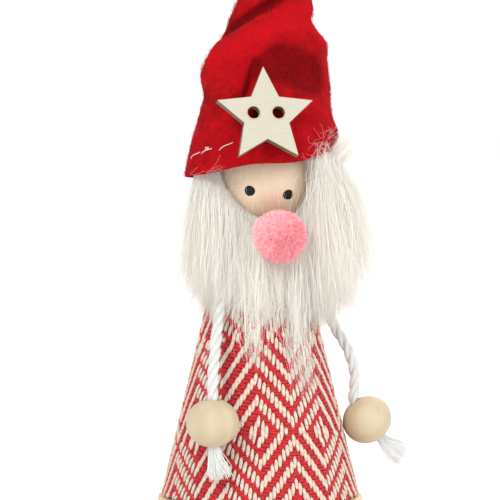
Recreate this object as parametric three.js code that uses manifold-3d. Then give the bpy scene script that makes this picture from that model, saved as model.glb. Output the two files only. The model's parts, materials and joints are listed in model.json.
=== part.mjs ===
// A tomte: a standing gnome with a fabric-covered cone for a body, a wooden ball for a head, a felt hat with a
// wooden star, a faux-fur beard, and arms made of one cotton cord with a wooden bead for each hand.
// Millimetres, +Z up. The face looks along -Y, and the origin is the centre of the base's underside.

import * as THREE from "three";
import { mergeVertices } from "three/addons/utils/BufferGeometryUtils.js";
import Module from "manifold-3d";

const wasm = await Module();
wasm.setup();

// Gap left between pieces that touch on the real object.
const GAP = 0.3;

// Base: a turned wooden disc that stands out a little past the fabric's hem.
const BASE_LEDGE = 1.2;
const BASE_THICKNESS = 5;
const BASE_CHAMFER = 0.6;

// Body: woven fabric glued round a hollow card cone that is cut off at the neck.
const BODY_BOTTOM_RADIUS = 29.3;
const BODY_TOP_RADIUS = 10.4;
const BODY_HEIGHT = 80.1;
const FABRIC_THICKNESS = 1.2;
const CARD_THICKNESS = 1.2;

// Head: a wooden ball that sits in the cone's rim, a little to one side.
const HEAD_RADIUS = 15;
const HEAD_OFFSET = 2.25;
const EYE_RADIUS = 1.5;
const EYE_DEPTH = 0.5;
const LEFT_EYE_AZIMUTH = -22;
const LEFT_EYE_HEIGHT = -4.3;
const RIGHT_EYE_AZIMUTH = 25;
const RIGHT_EYE_HEIGHT = -5.4;

// Nose: a pompom at the top of the beard.
const NOSE_RADIUS = 7.8;
const NOSE_OFFSET = 5.7;
const NOSE_DROP = 17.7;
const NOSE_STAND_OFF = 1.6;

// Hat: felt, open at the brim, with a tip that bends at the collar.
const HAT_BRIM_RADIUS = 22.3;
const HAT_MIDDLE_RADIUS = 19.2;
const HAT_COLLAR_RADIUS = 11.1;
const HAT_BRIM_RISE = 3.8;
const HAT_MIDDLE_RISE = 31;
const HAT_COLLAR_RISE = 53.3;
const HAT_TIP_LENGTH = 36.5;
const HAT_BRIM_TILT = 0.161;
const FELT_THICKNESS = 1.2;
const HAT_TIP_LEAN = 9.8;

// Star: a flat plywood button with two thread holes.
const STAR_RADIUS = 14.5;
const STAR_NOTCH_RADIUS = 6.9;
const STAR_THICKNESS = 2.5;
const STAR_RISE = 16.3;
const STAR_HOLE_RADIUS = 1.8;
const STAR_HOLE_SPACING = 7.3;
const STAR_HOLE_RISE = 0.9;
const STAR_TURN = 1;
const STAR_LEAN = 12.5;
const STAR_YAW = 12;
const STAR_AZIMUTH = 0;
const STAR_STAND_OFF = 1.6;

// Thread: a row of loose stitches on the hat's left side.
const THREAD_RADIUS = 0.4;
const THREAD_SLOPE = 0.055;
const STITCHES = [
  [-66, -57],
  [-52, -46],
  [-38, -30],
];
const KNOT_AZIMUTH = -43;
const KNOT_RISE = 11;
const KNOT_RADIUS = 0.9;

// Arms: one cord, through two holes in the cone, from bead to bead.
const CORD_DIAMETER = 3.2;
const CORD_SIDES = 8;
const CORD_HOLE_CLEARANCE = 0.3;
const BEAD_RADIUS = 7.5;
const BEAD_LENGTH = 12.8;
const BEAD_BORE_CLEARANCE = 0.7;
const FRAY_LENGTH = 9.8;
const FRAY_END_RADIUS = 3.3;
const SHOULDER_LENGTH = 3.4;

// Fur: faux fur on a knitted backing strip, glued round the head under the hat.
const BACKING_THICKNESS = 1;
const BACKING_HEIGHT = 9;
const WHISKER_DROP = 19.7;
const LEFT_FUR_THICKNESS = 10.5;
const RIGHT_FUR_THICKNESS = 13;
const BACK_FUR_THICKNESS = 8;
const BEARD_DROP = 53.7;
const BEARD_THICKNESS = 4.2;

// Heights and radii that follow from the sizes above.
const BASE_RADIUS = BODY_BOTTOM_RADIUS + BASE_LEDGE;
const CORD_HOLE_RADIUS = CORD_DIAMETER / 2 + CORD_HOLE_CLEARANCE;
const BEAD_BORE_RADIUS = CORD_DIAMETER / 2 + BEAD_BORE_CLEARANCE;
const BODY_BOTTOM_Z = BASE_THICKNESS + GAP;
const BODY_TOP_Z = BODY_BOTTOM_Z + BODY_HEIGHT;
const CARD_INSET = FABRIC_THICKNESS + GAP;
const RIM_RADIUS = BODY_TOP_RADIUS - CARD_INSET - CARD_THICKNESS;
const HEAD_Z = BODY_TOP_Z + Math.sqrt((HEAD_RADIUS + GAP) ** 2 - (RIM_RADIUS - HEAD_OFFSET) ** 2);
const HAT_BRIM_Z = HEAD_Z + HAT_BRIM_RISE;
const HAT_COLLAR_Z = HEAD_Z + HAT_COLLAR_RISE;
const NOSE_Z = HEAD_Z - NOSE_DROP;

// The arm cord's route from the underside of the left bead, up to the left shoulder, under the head, and down from
// the right shoulder to the underside of the right bead.
const LEFT_BEAD = new THREE.Vector3(-13.6, -29.2, 29.3);
const LEFT_SHOULDER = new THREE.Vector3(-9.64, -10.7, 76);
const RIGHT_SHOULDER = new THREE.Vector3(14.4, 0, 76);
const RIGHT_BEAD = new THREE.Vector3(32.1, 0, 27.3);
const ARM_ROUTE = new THREE.CatmullRomCurve3([
  new THREE.Vector3(-13.6, -29.2, 22.9),
  LEFT_BEAD,
  new THREE.Vector3(-13.6, -29, 35.7),
  new THREE.Vector3(-13.5, -27, 42),
  new THREE.Vector3(-12.7, -21.8, 52),
  new THREE.Vector3(-11.6, -16.6, 62.5),
  LEFT_SHOULDER,
  new THREE.Vector3(-6.7, -7.4, 80.5),
  new THREE.Vector3(-2.3, -2.9, 82.5),
  new THREE.Vector3(2.6, -0.8, 82.6),
  new THREE.Vector3(6.6, -0.1, 82.2),
  new THREE.Vector3(10.4, 0, 80.4),
  RIGHT_SHOULDER,
  new THREE.Vector3(18.6, 0, 64.5),
  new THREE.Vector3(22.2, 0, 55.5),
  new THREE.Vector3(26.3, 0, 48.3),
  new THREE.Vector3(28.4, 0, 41),
  new THREE.Vector3(28.32, 0, 32.46),
  RIGHT_BEAD,
  new THREE.Vector3(35.88, 0, 22.14),
]);
ARM_ROUTE.arcLengthDivisions = 2000;

const MATERIALS = {
  wood: new THREE.MeshStandardMaterial({ color: "#e6c79c", roughness: 0.6, metalness: 0 }),
  plywood: new THREE.MeshStandardMaterial({ color: "#ead9bd", roughness: 0.7, metalness: 0 }),
  card: new THREE.MeshStandardMaterial({ color: "#b79d7a", roughness: 0.9, metalness: 0 }),
  weave: new THREE.MeshStandardMaterial({ color: "#cf2a30", roughness: 0.95, metalness: 0 }),
  felt: new THREE.MeshStandardMaterial({ color: "#a3101c", roughness: 1, metalness: 0 }),
  wadding: new THREE.MeshStandardMaterial({ color: "#efeae2", roughness: 1, metalness: 0 }),
  paint: new THREE.MeshStandardMaterial({ color: "#0c0b0b", roughness: 0.35, metalness: 0 }),
  pompom: new THREE.MeshStandardMaterial({ color: "#f08a94", roughness: 1, metalness: 0 }),
  fur: new THREE.MeshStandardMaterial({ color: "#f4f0ea", roughness: 1, metalness: 0 }),
  cotton: new THREE.MeshStandardMaterial({ color: "#f2efe9", roughness: 0.95, metalness: 0 }),
};

const tomte = new THREE.Group();

function addPiece(name, geometry, material, parent = tomte) {
  const piece = new THREE.Mesh(geometry, material);
  piece.name = name;
  parent.add(piece);
  return piece;
}

// A solid turned about the Z axis from (radius, height) points. A profile off the axis closes on itself.
function turned(profile, segments = 48) {
  const points = profile.map(([radius, height]) => new THREE.Vector2(radius, height));
  if (profile[0][0] > 0) {
    points.push(points[0].clone());
  }
  return new THREE.LatheGeometry(points, segments).rotateX(Math.PI / 2);
}

// The vertices of a geometry, each moved by a function of its position.
function reshaped(geometry, move) {
  const position = geometry.getAttribute("position");
  const vertex = new THREE.Vector3();
  for (let i = 0; i < position.count; i += 1) {
    vertex.fromBufferAttribute(position, i);
    move(vertex);
    position.setXYZ(i, vertex.x, vertex.y, vertex.z);
  }
  return geometry;
}

function solidOf(geometry) {
  const bare = geometry.clone();
  bare.deleteAttribute("normal");
  bare.deleteAttribute("uv");
  const merged = mergeVertices(bare, 1e-4);
  const mesh = new wasm.Mesh({
    numProp: 3,
    vertProperties: merged.attributes.position.array,
    triVerts: new Uint32Array(merged.index.array),
  });
  return new wasm.Manifold(mesh);
}

function cut(geometry, tool) {
  const { vertProperties, triVerts } = solidOf(geometry).subtract(solidOf(tool)).getMesh();
  const result = new THREE.BufferGeometry();
  result.setAttribute("position", new THREE.BufferAttribute(vertProperties, 3));
  result.setIndex(new THREE.BufferAttribute(triVerts, 1));
  return result;
}

// The part of a longer curve between two distances along it.
class Stretch extends THREE.Curve {
  constructor(whole, start, end) {
    super();
    this.whole = whole;
    this.start = start / whole.getLength();
    this.end = end / whole.getLength();
  }

  getPoint(t, target = new THREE.Vector3()) {
    return this.whole.getPointAt(THREE.MathUtils.lerp(this.start, this.end, t), target);
  }
}

// How far along a curve its nearest point to a place is.
function distanceAlong(curve, place, samples = 2000) {
  const points = curve.getSpacedPoints(samples);
  const nearest = points.reduce(
    (best, point, i) => (point.distanceTo(place) < points[best].distanceTo(place) ? i : best),
    0,
  );
  return (nearest / samples) * curve.getLength();
}

function tube(path, radius, steps, sides = CORD_SIDES) {
  const section = new THREE.Shape();
  section.absarc(0, 0, radius, 0, 2 * Math.PI);
  const corners = section.getSpacedPoints(sides).slice(0, sides);
  return new THREE.ExtrudeGeometry(new THREE.Shape(corners), { steps, extrudePath: path, bevelEnabled: false });
}

// A point at an azimuth, in degrees from the front (-Y) towards +X, round a vertical axis.
function roundAxis(azimuth, radius, height, axisX = 0) {
  const angle = THREE.MathUtils.degToRad(azimuth);
  return new THREE.Vector3(axisX + radius * Math.sin(angle), -radius * Math.cos(angle), height);
}

// A closed block bent round the vertical axis through the head: its floor and top are functions of azimuth, and its
// inner and outer radii are functions of height.
function bentBlock({ from, to, floor, top, inner, outer, axisX = HEAD_OFFSET, columns = 12, rows = 4 }) {
  const positions = [];
  const faces = [];
  const index = (side, i, j) => side * (columns + 1) * (rows + 1) + i * (rows + 1) + j;
  const quad = (a, b, c, d) => faces.push(a, b, c, a, c, d);
  for (const radius of [inner, outer]) {
    for (let i = 0; i <= columns; i += 1) {
      const azimuth = THREE.MathUtils.lerp(from, to, i / columns);
      for (let j = 0; j <= rows; j += 1) {
        const height = THREE.MathUtils.lerp(floor(azimuth), top(azimuth), j / rows);
        positions.push(...roundAxis(azimuth, radius(height, azimuth), height, axisX).toArray());
      }
    }
  }
  for (let i = 0; i < columns; i += 1) {
    for (let j = 0; j < rows; j += 1) {
      quad(index(1, i, j), index(1, i + 1, j), index(1, i + 1, j + 1), index(1, i, j + 1));
      quad(index(0, i, j), index(0, i, j + 1), index(0, i + 1, j + 1), index(0, i + 1, j));
    }
    quad(index(0, i, 0), index(0, i + 1, 0), index(1, i + 1, 0), index(1, i, 0));
    quad(index(0, i, rows), index(1, i, rows), index(1, i + 1, rows), index(0, i + 1, rows));
  }
  for (let j = 0; j < rows; j += 1) {
    quad(index(0, 0, j), index(1, 0, j), index(1, 0, j + 1), index(0, 0, j + 1));
    quad(index(0, columns, j), index(0, columns, j + 1), index(1, columns, j + 1), index(1, columns, j));
  }
  const block = new THREE.BufferGeometry();
  block.setAttribute("position", new THREE.Float32BufferAttribute(positions, 3));
  block.setIndex(faces);
  return block;
}

// The outside radius of the fabric at a height.
function bodyRadius(height) {
  const share = (height - BODY_BOTTOM_Z) / BODY_HEIGHT;
  return THREE.MathUtils.lerp(BODY_BOTTOM_RADIUS, BODY_TOP_RADIUS, share);
}

function addBase() {
  const profile = [
    [0, 0],
    [BASE_RADIUS - BASE_CHAMFER, 0],
    [BASE_RADIUS, BASE_CHAMFER],
    [BASE_RADIUS, BASE_THICKNESS - BASE_CHAMFER],
    [BASE_RADIUS - BASE_CHAMFER, BASE_THICKNESS],
    [0, BASE_THICKNESS],
  ];
  addPiece("base_disc", turned(profile, 64), MATERIALS.wood);
}

// A conical shell whose outside lies a given inset within the fabric's outside.
function coneShell(inset, thickness) {
  return turned([
    [BODY_BOTTOM_RADIUS - inset, BODY_BOTTOM_Z],
    [BODY_TOP_RADIUS - inset, BODY_TOP_Z],
    [BODY_TOP_RADIUS - inset - thickness, BODY_TOP_Z],
    [BODY_BOTTOM_RADIUS - inset - thickness, BODY_BOTTOM_Z],
  ]);
}

function addBody() {
  const start = distanceAlong(ARM_ROUTE, LEFT_SHOULDER) - SHOULDER_LENGTH;
  const end = distanceAlong(ARM_ROUTE, RIGHT_SHOULDER) + SHOULDER_LENGTH;
  const hole = tube(new Stretch(ARM_ROUTE, start, end), CORD_HOLE_RADIUS, 24, 12);
  addPiece("cone_core", cut(coneShell(CARD_INSET, CARD_THICKNESS), hole), MATERIALS.card);
  addPiece("body_cover", cut(coneShell(0, FABRIC_THICKNESS), hole), MATERIALS.weave);
}

// An eye: a shallow dome of paint on the ball.
function addEye(name, azimuth, height, head) {
  const profile = [
    [0, 0],
    [EYE_RADIUS, 0],
    [EYE_RADIUS * 0.7, EYE_DEPTH * 0.8],
    [0, EYE_DEPTH],
  ];
  const level = Math.sqrt(HEAD_RADIUS ** 2 - height ** 2);
  const place = roundAxis(azimuth, level, height);
  const eye = addPiece(name, turned(profile, 16), MATERIALS.paint, head);
  eye.quaternion.setFromUnitVectors(new THREE.Vector3(0, 0, 1), place.clone().normalize());
  eye.position.copy(place.setLength(HEAD_RADIUS + GAP));
}

function addHead() {
  const head = new THREE.Group();
  head.position.set(HEAD_OFFSET, 0, HEAD_Z);
  tomte.add(head);
  addPiece("head_ball", new THREE.SphereGeometry(HEAD_RADIUS, 40, 24).rotateX(Math.PI / 2), MATERIALS.wood, head);
  addEye("left_eye", LEFT_EYE_AZIMUTH, LEFT_EYE_HEIGHT, head);
  addEye("right_eye", RIGHT_EYE_AZIMUTH, RIGHT_EYE_HEIGHT, head);
}

function addNose() {
  const nose = addPiece("nose_pompom", new THREE.IcosahedronGeometry(NOSE_RADIUS, 4), MATERIALS.pompom);
  nose.position.set(NOSE_OFFSET, -(bodyRadius(NOSE_Z) + NOSE_RADIUS + NOSE_STAND_OFF), NOSE_Z);
}

// The hat's centre line, from the brim up to the collar.
const HAT_AXIS = new THREE.CatmullRomCurve3([
  new THREE.Vector3(0, 0, HAT_BRIM_Z),
  new THREE.Vector3(1.5, 0, HEAD_Z + HAT_MIDDLE_RISE - 8),
  new THREE.Vector3(2.4, 0.1, THREE.MathUtils.lerp(HEAD_Z + HAT_MIDDLE_RISE, HAT_COLLAR_Z, 0.4)),
  new THREE.Vector3(4.3, 0.5, HAT_COLLAR_Z),
]);

// The hat's outside radius at a height, before it leans: straight tapers, from the brim, past the middle, to the collar.
function hatRadius(height) {
  const middle = HEAD_Z + HAT_MIDDLE_RISE;
  if (height < middle) {
    return THREE.MathUtils.mapLinear(height, HAT_BRIM_Z, middle, HAT_BRIM_RADIUS, HAT_MIDDLE_RADIUS);
  }
  return THREE.MathUtils.mapLinear(height, middle, HAT_COLLAR_Z, HAT_MIDDLE_RADIUS, HAT_COLLAR_RADIUS);
}

// Leans a shape that was turned about the Z axis over to the hat's own centre line, and tilts its brim.
function leanWithHat(vertex) {
  const share = THREE.MathUtils.clamp((vertex.z - HAT_BRIM_Z) / (HAT_COLLAR_Z - HAT_BRIM_Z), 0, 1);
  const axis = HAT_AXIS.getPoint(share);
  vertex.z += HAT_BRIM_TILT * vertex.x * (1 - share) ** 2;
  vertex.x += axis.x;
  vertex.y += axis.y;
}

// A point on the hat, or a little way off it.
function onHat(azimuth, height, standOff = 0) {
  const point = roundAxis(azimuth, hatRadius(height) + standOff, height);
  leanWithHat(point);
  return point;
}

function addHat() {
  const levels = Array.from({ length: 10 }, (_, i) => {
    const height = THREE.MathUtils.lerp(HAT_BRIM_Z, HAT_COLLAR_Z, i / 9);
    return [hatRadius(height), height];
  });
  const lining = levels.map(([radius, height]) => [radius - FELT_THICKNESS, height]).reverse();
  addPiece("hat_felt", reshaped(turned([...levels, ...lining]), leanWithHat), MATERIALS.felt);

  // The tip ends in a ball that turns inside the felt's collar.
  const ballRadius = HAT_COLLAR_RADIUS - FELT_THICKNESS - 0.5;
  const slope = Math.asin(ballRadius / HAT_TIP_LENGTH);
  const ball = Array.from({ length: 9 }, (_, i) => {
    const angle = THREE.MathUtils.lerp(-Math.PI / 2, slope, i / 8);
    return [i === 0 ? 0 : ballRadius * Math.cos(angle), ballRadius * Math.sin(angle)];
  });
  const point = [
    [1.2, HAT_TIP_LENGTH - 1.2 / Math.tan(slope)],
    [0, HAT_TIP_LENGTH - 2.6],
  ];
  const tip = addPiece("hat_tip", turned([...ball, ...point], 32), MATERIALS.felt);
  tip.rotation.y = THREE.MathUtils.degToRad(HAT_TIP_LEAN);
  tip.position.copy(HAT_AXIS.getPoint(1));

  // Wadding fills the hat between the top of the head and the tip's ball.
  const low = HEAD_Z + HEAD_RADIUS + 1;
  const high = HAT_COLLAR_Z - ballRadius - 1;
  const filling = Array.from({ length: 5 }, (_, i) => {
    const height = THREE.MathUtils.lerp(low, high, i / 4);
    return [hatRadius(height) - FELT_THICKNESS - 1.4, height];
  });
  const wadding = turned([[0, low], ...filling, [0, high]], 24);
  addPiece("hat_wadding", reshaped(wadding, leanWithHat), MATERIALS.wadding);
}

function addStar() {
  const outline = new THREE.Shape();
  for (let i = 0; i < 10; i += 1) {
    const radius = i % 2 === 0 ? STAR_RADIUS : STAR_NOTCH_RADIUS;
    const angle = Math.PI / 2 + (i * Math.PI) / 5;
    outline[i === 0 ? "moveTo" : "lineTo"](radius * Math.cos(angle), radius * Math.sin(angle));
  }
  for (const side of [-1, 1]) {
    const hole = new THREE.Path();
    hole.absarc((side * STAR_HOLE_SPACING) / 2, STAR_HOLE_RISE, STAR_HOLE_RADIUS, 0, 2 * Math.PI);
    outline.holes.push(hole);
  }
  const plate = new THREE.ExtrudeGeometry(outline, { depth: STAR_THICKNESS, bevelEnabled: false, curveSegments: 8 });
  const star = addPiece("star_button", plate, MATERIALS.plywood);
  // The plate is drawn in the XY plane: it is turned in that plane, stood up, leaned back and yawed.
  const { degToRad } = THREE.MathUtils;
  star.rotation.set(degToRad(90 - STAR_LEAN), 0, degToRad(STAR_YAW), "ZXY");
  star.rotateZ(degToRad(STAR_TURN));
  star.position.copy(onHat(STAR_AZIMUTH, HEAD_Z + STAR_RISE, GAP + STAR_STAND_OFF));
}

// One loose running stitch between two azimuths, rising as it goes, and the knot beside the second one.
function addStitches() {
  const threadHeight = (azimuth) => HEAD_Z + KNOT_RISE + (azimuth - KNOT_AZIMUTH) * THREAD_SLOPE;
  STITCHES.forEach(([from, to], i) => {
    const places = [from, (from + to) / 2, to].map((azimuth) =>
      onHat(azimuth, threadHeight(azimuth), THREAD_RADIUS + GAP),
    );
    addPiece(`hat_stitch_${i + 1}`, tube(new THREE.CatmullRomCurve3(places), THREAD_RADIUS, 6), MATERIALS.cotton);
  });
  const knot = addPiece("hat_thread_knot", new THREE.IcosahedronGeometry(KNOT_RADIUS, 2), MATERIALS.cotton);
  knot.position.copy(onHat(KNOT_AZIMUTH, threadHeight(KNOT_AZIMUTH), KNOT_RADIUS + GAP));
}

function smooth(from, to, value) {
  return THREE.MathUtils.smoothstep(value, from, to);
}

function addFur() {
  const headEdge = HEAD_RADIUS + GAP;
  const outsideBacking = headEdge + BACKING_THICKNESS + GAP;
  const hatUnderside = HAT_BRIM_Z - 0.7;
  addPiece(
    "fur_backing",
    bentBlock({
      from: 52,
      to: 308,
      floor: () => HEAD_Z - BACKING_HEIGHT * 0.75,
      top: () => HEAD_Z + BACKING_HEIGHT * 0.1,
      inner: () => headEdge,
      outer: () => headEdge + BACKING_THICKNESS,
      columns: 32,
      rows: 1,
    }),
    MATERIALS.fur,
  );
  addPiece(
    "fur_left",
    bentBlock({
      from: -130,
      to: -20,
      floor: () => HEAD_Z - WHISKER_DROP,
      top: (azimuth) => THREE.MathUtils.lerp(HEAD_Z - 9.5, hatUnderside - 4, smooth(-45, -62, azimuth)),
      inner: () => outsideBacking,
      outer: () => HEAD_RADIUS + LEFT_FUR_THICKNESS,
    }),
    MATERIALS.fur,
  );
  addPiece(
    "fur_right",
    bentBlock({
      from: 44,
      to: 130,
      floor: () => HEAD_Z - WHISKER_DROP,
      top: (azimuth) => THREE.MathUtils.lerp(HEAD_Z - 7, hatUnderside + 1.4, smooth(52, 66, azimuth)),
      inner: () => outsideBacking,
      outer: () => HEAD_RADIUS + RIGHT_FUR_THICKNESS,
    }),
    MATERIALS.fur,
  );
  addPiece(
    "fur_back",
    bentBlock({
      from: 133,
      to: 227,
      floor: () => HEAD_Z - WHISKER_DROP,
      top: () => hatUnderside - 2.8,
      inner: () => outsideBacking,
      outer: () => HEAD_RADIUS + BACK_FUR_THICKNESS,
    }),
    MATERIALS.fur,
  );
  addPiece(
    "beard",
    bentBlock({
      from: -18,
      to: 54,
      floor: (azimuth) => HEAD_Z - BEARD_DROP + (Math.abs(azimuth - 24) * 14) / 42,
      top: () => NOSE_Z - NOSE_RADIUS - 0.8,
      inner: (height) => bodyRadius(height) + 0.4,
      outer: (height) => bodyRadius(height) + 0.4 + BEARD_THICKNESS,
      axisX: 0,
      rows: 5,
    }),
    MATERIALS.fur,
  );
}

function addArms() {
  const cordRadius = CORD_DIAMETER / 2;
  const leftShoulder = distanceAlong(ARM_ROUTE, LEFT_SHOULDER);
  const rightShoulder = distanceAlong(ARM_ROUTE, RIGHT_SHOULDER);
  const end = ARM_ROUTE.getLength();
  // The cord under the head stops short of each shoulder by more than its own radius, so the arm can lift.
  const clear = cordRadius + 0.4;
  const stretches = {
    arm_cord_crossing: [leftShoulder + clear, rightShoulder - clear, 14],
    left_shoulder_cord: [leftShoulder - SHOULDER_LENGTH, leftShoulder, 2],
    left_arm_cord: [0, leftShoulder - SHOULDER_LENGTH - 2 * GAP, 14],
    right_shoulder_cord: [rightShoulder, rightShoulder + SHOULDER_LENGTH, 2],
    right_arm_cord: [rightShoulder + SHOULDER_LENGTH + 2 * GAP, end, 14],
  };
  for (const [name, [from, to, steps]] of Object.entries(stretches)) {
    addPiece(name, tube(new Stretch(ARM_ROUTE, from, to), cordRadius, steps), MATERIALS.cotton);
  }
  addHand("left", LEFT_BEAD, ARM_ROUTE.getPointAt(0), new THREE.Vector3(0.14, -0.06, -1));
  addHand("right", RIGHT_BEAD, ARM_ROUTE.getPointAt(1), new THREE.Vector3(0.74, 0, -0.67));
}

// A bead with the cord through its bore, and the cord's frayed end below it.
function addHand(side, centre, cordEnd, frayDirection) {
  const halfLength = BEAD_LENGTH / 2;
  const rimRadius = BEAD_BORE_RADIUS + 0.3;
  const halfHeight = halfLength / Math.sqrt(1 - (rimRadius / BEAD_RADIUS) ** 2);
  const outside = Array.from({ length: 13 }, (_, i) => {
    const height = THREE.MathUtils.lerp(-halfLength, halfLength, i / 12);
    return [BEAD_RADIUS * Math.sqrt(1 - (height / halfHeight) ** 2), height];
  });
  const bore = [
    [BEAD_BORE_RADIUS, halfLength],
    [BEAD_BORE_RADIUS, -halfLength],
  ];
  const down = cordEnd.clone().sub(centre).normalize();
  const bead = addPiece(`${side}_hand_bead`, turned([...outside, ...bore], 28), MATERIALS.wood);
  bead.quaternion.setFromUnitVectors(new THREE.Vector3(0, 0, -1), down);
  bead.position.copy(centre);

  const direction = frayDirection.normalize();
  const shape = new THREE.CylinderGeometry(FRAY_END_RADIUS, CORD_DIAMETER / 2 - 0.1, FRAY_LENGTH, 10);
  const fray = addPiece(`${side}_cord_fray`, shape, MATERIALS.cotton);
  fray.quaternion.setFromUnitVectors(new THREE.Vector3(0, 1, 0), direction);
  fray.position.copy(cordEnd).addScaledVector(down, 2.5 * GAP).addScaledVector(direction, FRAY_LENGTH / 2);
}

addBase();
addBody();
addHead();
addNose();
addHat();
addStar();
addStitches();
addFur();
addArms();

export default tomte;
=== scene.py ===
"""The looks of a tomte gnome: a cone of woven cloth on a wooden disc, a ball head, a felt hat with a
wooden star, a faux-fur beard, a pompom nose, and arms of twisted cotton cord with wooden beads for hands."""

import json
import math
from dataclasses import dataclass

import bpy
import numpy as np
from mathutils import Matrix, Vector


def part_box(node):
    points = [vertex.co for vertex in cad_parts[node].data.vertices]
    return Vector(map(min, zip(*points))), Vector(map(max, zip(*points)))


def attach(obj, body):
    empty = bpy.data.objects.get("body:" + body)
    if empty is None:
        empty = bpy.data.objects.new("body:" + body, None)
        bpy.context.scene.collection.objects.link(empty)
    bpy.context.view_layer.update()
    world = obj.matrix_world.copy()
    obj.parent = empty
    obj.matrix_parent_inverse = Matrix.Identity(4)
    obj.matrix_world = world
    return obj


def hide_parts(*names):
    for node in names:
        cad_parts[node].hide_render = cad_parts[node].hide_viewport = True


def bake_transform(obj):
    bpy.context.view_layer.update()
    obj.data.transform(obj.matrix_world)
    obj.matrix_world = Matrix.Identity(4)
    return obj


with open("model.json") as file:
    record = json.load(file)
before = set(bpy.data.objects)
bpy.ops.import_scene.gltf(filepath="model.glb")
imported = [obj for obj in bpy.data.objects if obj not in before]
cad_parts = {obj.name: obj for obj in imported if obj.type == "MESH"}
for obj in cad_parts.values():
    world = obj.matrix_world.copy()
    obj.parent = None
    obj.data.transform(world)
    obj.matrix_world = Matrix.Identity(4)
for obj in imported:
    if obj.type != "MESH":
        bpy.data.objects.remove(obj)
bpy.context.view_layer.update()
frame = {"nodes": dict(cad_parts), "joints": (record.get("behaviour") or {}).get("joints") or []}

bl_info = {
    "name": "Tomte Gnome",
    "version": (1, 0, 0),
    "blender": (4, 5, 0),
    "location": "3D View > Sidebar > Tomte",
    "description": "Makes a tomte gnome with a woven body, a felt hat, a fur beard and cord arms",
    "category": "Add Mesh",
}

MM = 0.001  # all shapes are worked out in millimetres, and made in metres
UP = np.array([0.0, 0.0, 1.0])


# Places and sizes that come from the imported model, in millimetres.


def mm(length):
    """A length in metres, as millimetres without the last digits that a setting's single precision adds."""
    return round(length / MM, 4)


def node_box(node):
    """The low and high corners of a CAD solid."""
    low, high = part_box(node)
    return np.array(low) / MM, np.array(high) / MM


def node_centre(node):
    """The middle of a CAD solid's box."""
    low, high = node_box(node)
    return (low + high) / 2


def top_radius(node):
    """How far a CAD solid's top edge is from the vertical axis."""
    points = np.array([v.co for v in frame["nodes"][node].data.vertices]) / MM
    top = points[points[:, 2] > points[:, 2].max() - 0.1]
    return float(np.hypot(top[:, 0], top[:, 1]).max())


def joint_place(name):
    """Where a joint is."""
    return np.array(next(j["pos_m"] for j in frame["joints"] if j["name"] == name)) / MM


COVER_LOW, COVER_HIGH = node_box("body_cover")
BODY_BOTTOM, BODY_TOP = COVER_LOW[2], COVER_HIGH[2]
BOTTOM_RADIUS = (COVER_HIGH[0] - COVER_LOW[0]) / 2
NECK_RADIUS = top_radius("body_cover")
HALF_ANGLE = math.atan((BOTTOM_RADIUS - NECK_RADIUS) / (BODY_TOP - BODY_BOTTOM))
APEX = BODY_BOTTOM + BOTTOM_RADIUS / math.tan(HALF_ANGLE)
HEAD = node_centre("head_ball")
HEAD_RADIUS = (node_box("head_ball")[1] - node_box("head_ball")[0])[0] / 2
NOSE = node_centre("nose_pompom")
NOSE_RADIUS = (node_box("nose_pompom")[1] - node_box("nose_pompom")[0])[0] / 2
LEFT_SHOULDER = joint_place("left_arm_swing")
RIGHT_SHOULDER = joint_place("right_arm_swing")
LEFT_BEAD = joint_place("left_hand_turn")
RIGHT_BEAD = joint_place("right_hand_turn")

# The arm cord's route, in metres, from the underside of the left bead to the underside of the right one.
ARM_ROUTE = [
    (-0.0136, -0.0292, 0.0229),
    (-0.0136, -0.0292, 0.0293),
    (-0.0136, -0.029, 0.0357),
    (-0.0135, -0.027, 0.042),
    (-0.0127, -0.0218, 0.052),
    (-0.0116, -0.0166, 0.0625),
    (-0.00964, -0.0107, 0.076),
    (-0.0067, -0.0074, 0.0805),
    (-0.0023, -0.0029, 0.0825),
    (0.0026, -0.0008, 0.0826),
    (0.0066, -0.0001, 0.0822),
    (0.0104, 0.0, 0.0804),
    (0.0144, 0.0, 0.076),
    (0.0186, 0.0, 0.0645),
    (0.0222, 0.0, 0.0555),
    (0.0263, 0.0, 0.0483),
    (0.0284, 0.0, 0.041),
    (0.02832, 0.0, 0.03246),
    (0.0321, 0.0, 0.0273),
    (0.03588, 0.0, 0.02214),
]


# Settings that a user would change.


def length_prop(name, description, default, low):
    """A setting for a length in metres."""
    return bpy.props.FloatProperty(
        name=name, description=description, default=default, min=low, unit="LENGTH"
    )


def number_prop(name, description, default, low=1):
    """A setting for a whole number."""
    return bpy.props.IntProperty(name=name, description=description, default=default, min=low)


def colour_prop(name, description, default):
    """A setting for a colour."""
    return bpy.props.FloatVectorProperty(
        name=name, description=description, default=default, subtype="COLOR"
    )


class TomteBody(bpy.types.PropertyGroup):
    """The woven cloth round the cone."""

    column: length_prop("Column width", "Spacing of the warp threads", 0.00113, 0.0003)
    step: length_prop("Step", "How far the pattern rises from one warp thread to the next", 0.0014, 0.0003)
    pitch: length_prop("Stripe pitch", "Height of a light and a dark stripe along a thread", 0.0062, 0.001)
    float_length: length_prop("Float length", "How far a warp thread runs over the weft", 0.00325, 0.0005)
    diamond_columns: number_prop("Half diamond", "Warp threads from a diamond's middle to its side", 9, 2)
    diamond_height: length_prop(
        "Half diamond height", "From a diamond's middle to where the pattern turns back", 0.028, 0.003
    )
    light: colour_prop("Light yarn", "Colour of the warp", (0.68, 0.55, 0.455))
    dark: colour_prop("Dark yarn", "Colour of the weft", (0.60, 0.022, 0.030))


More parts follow.
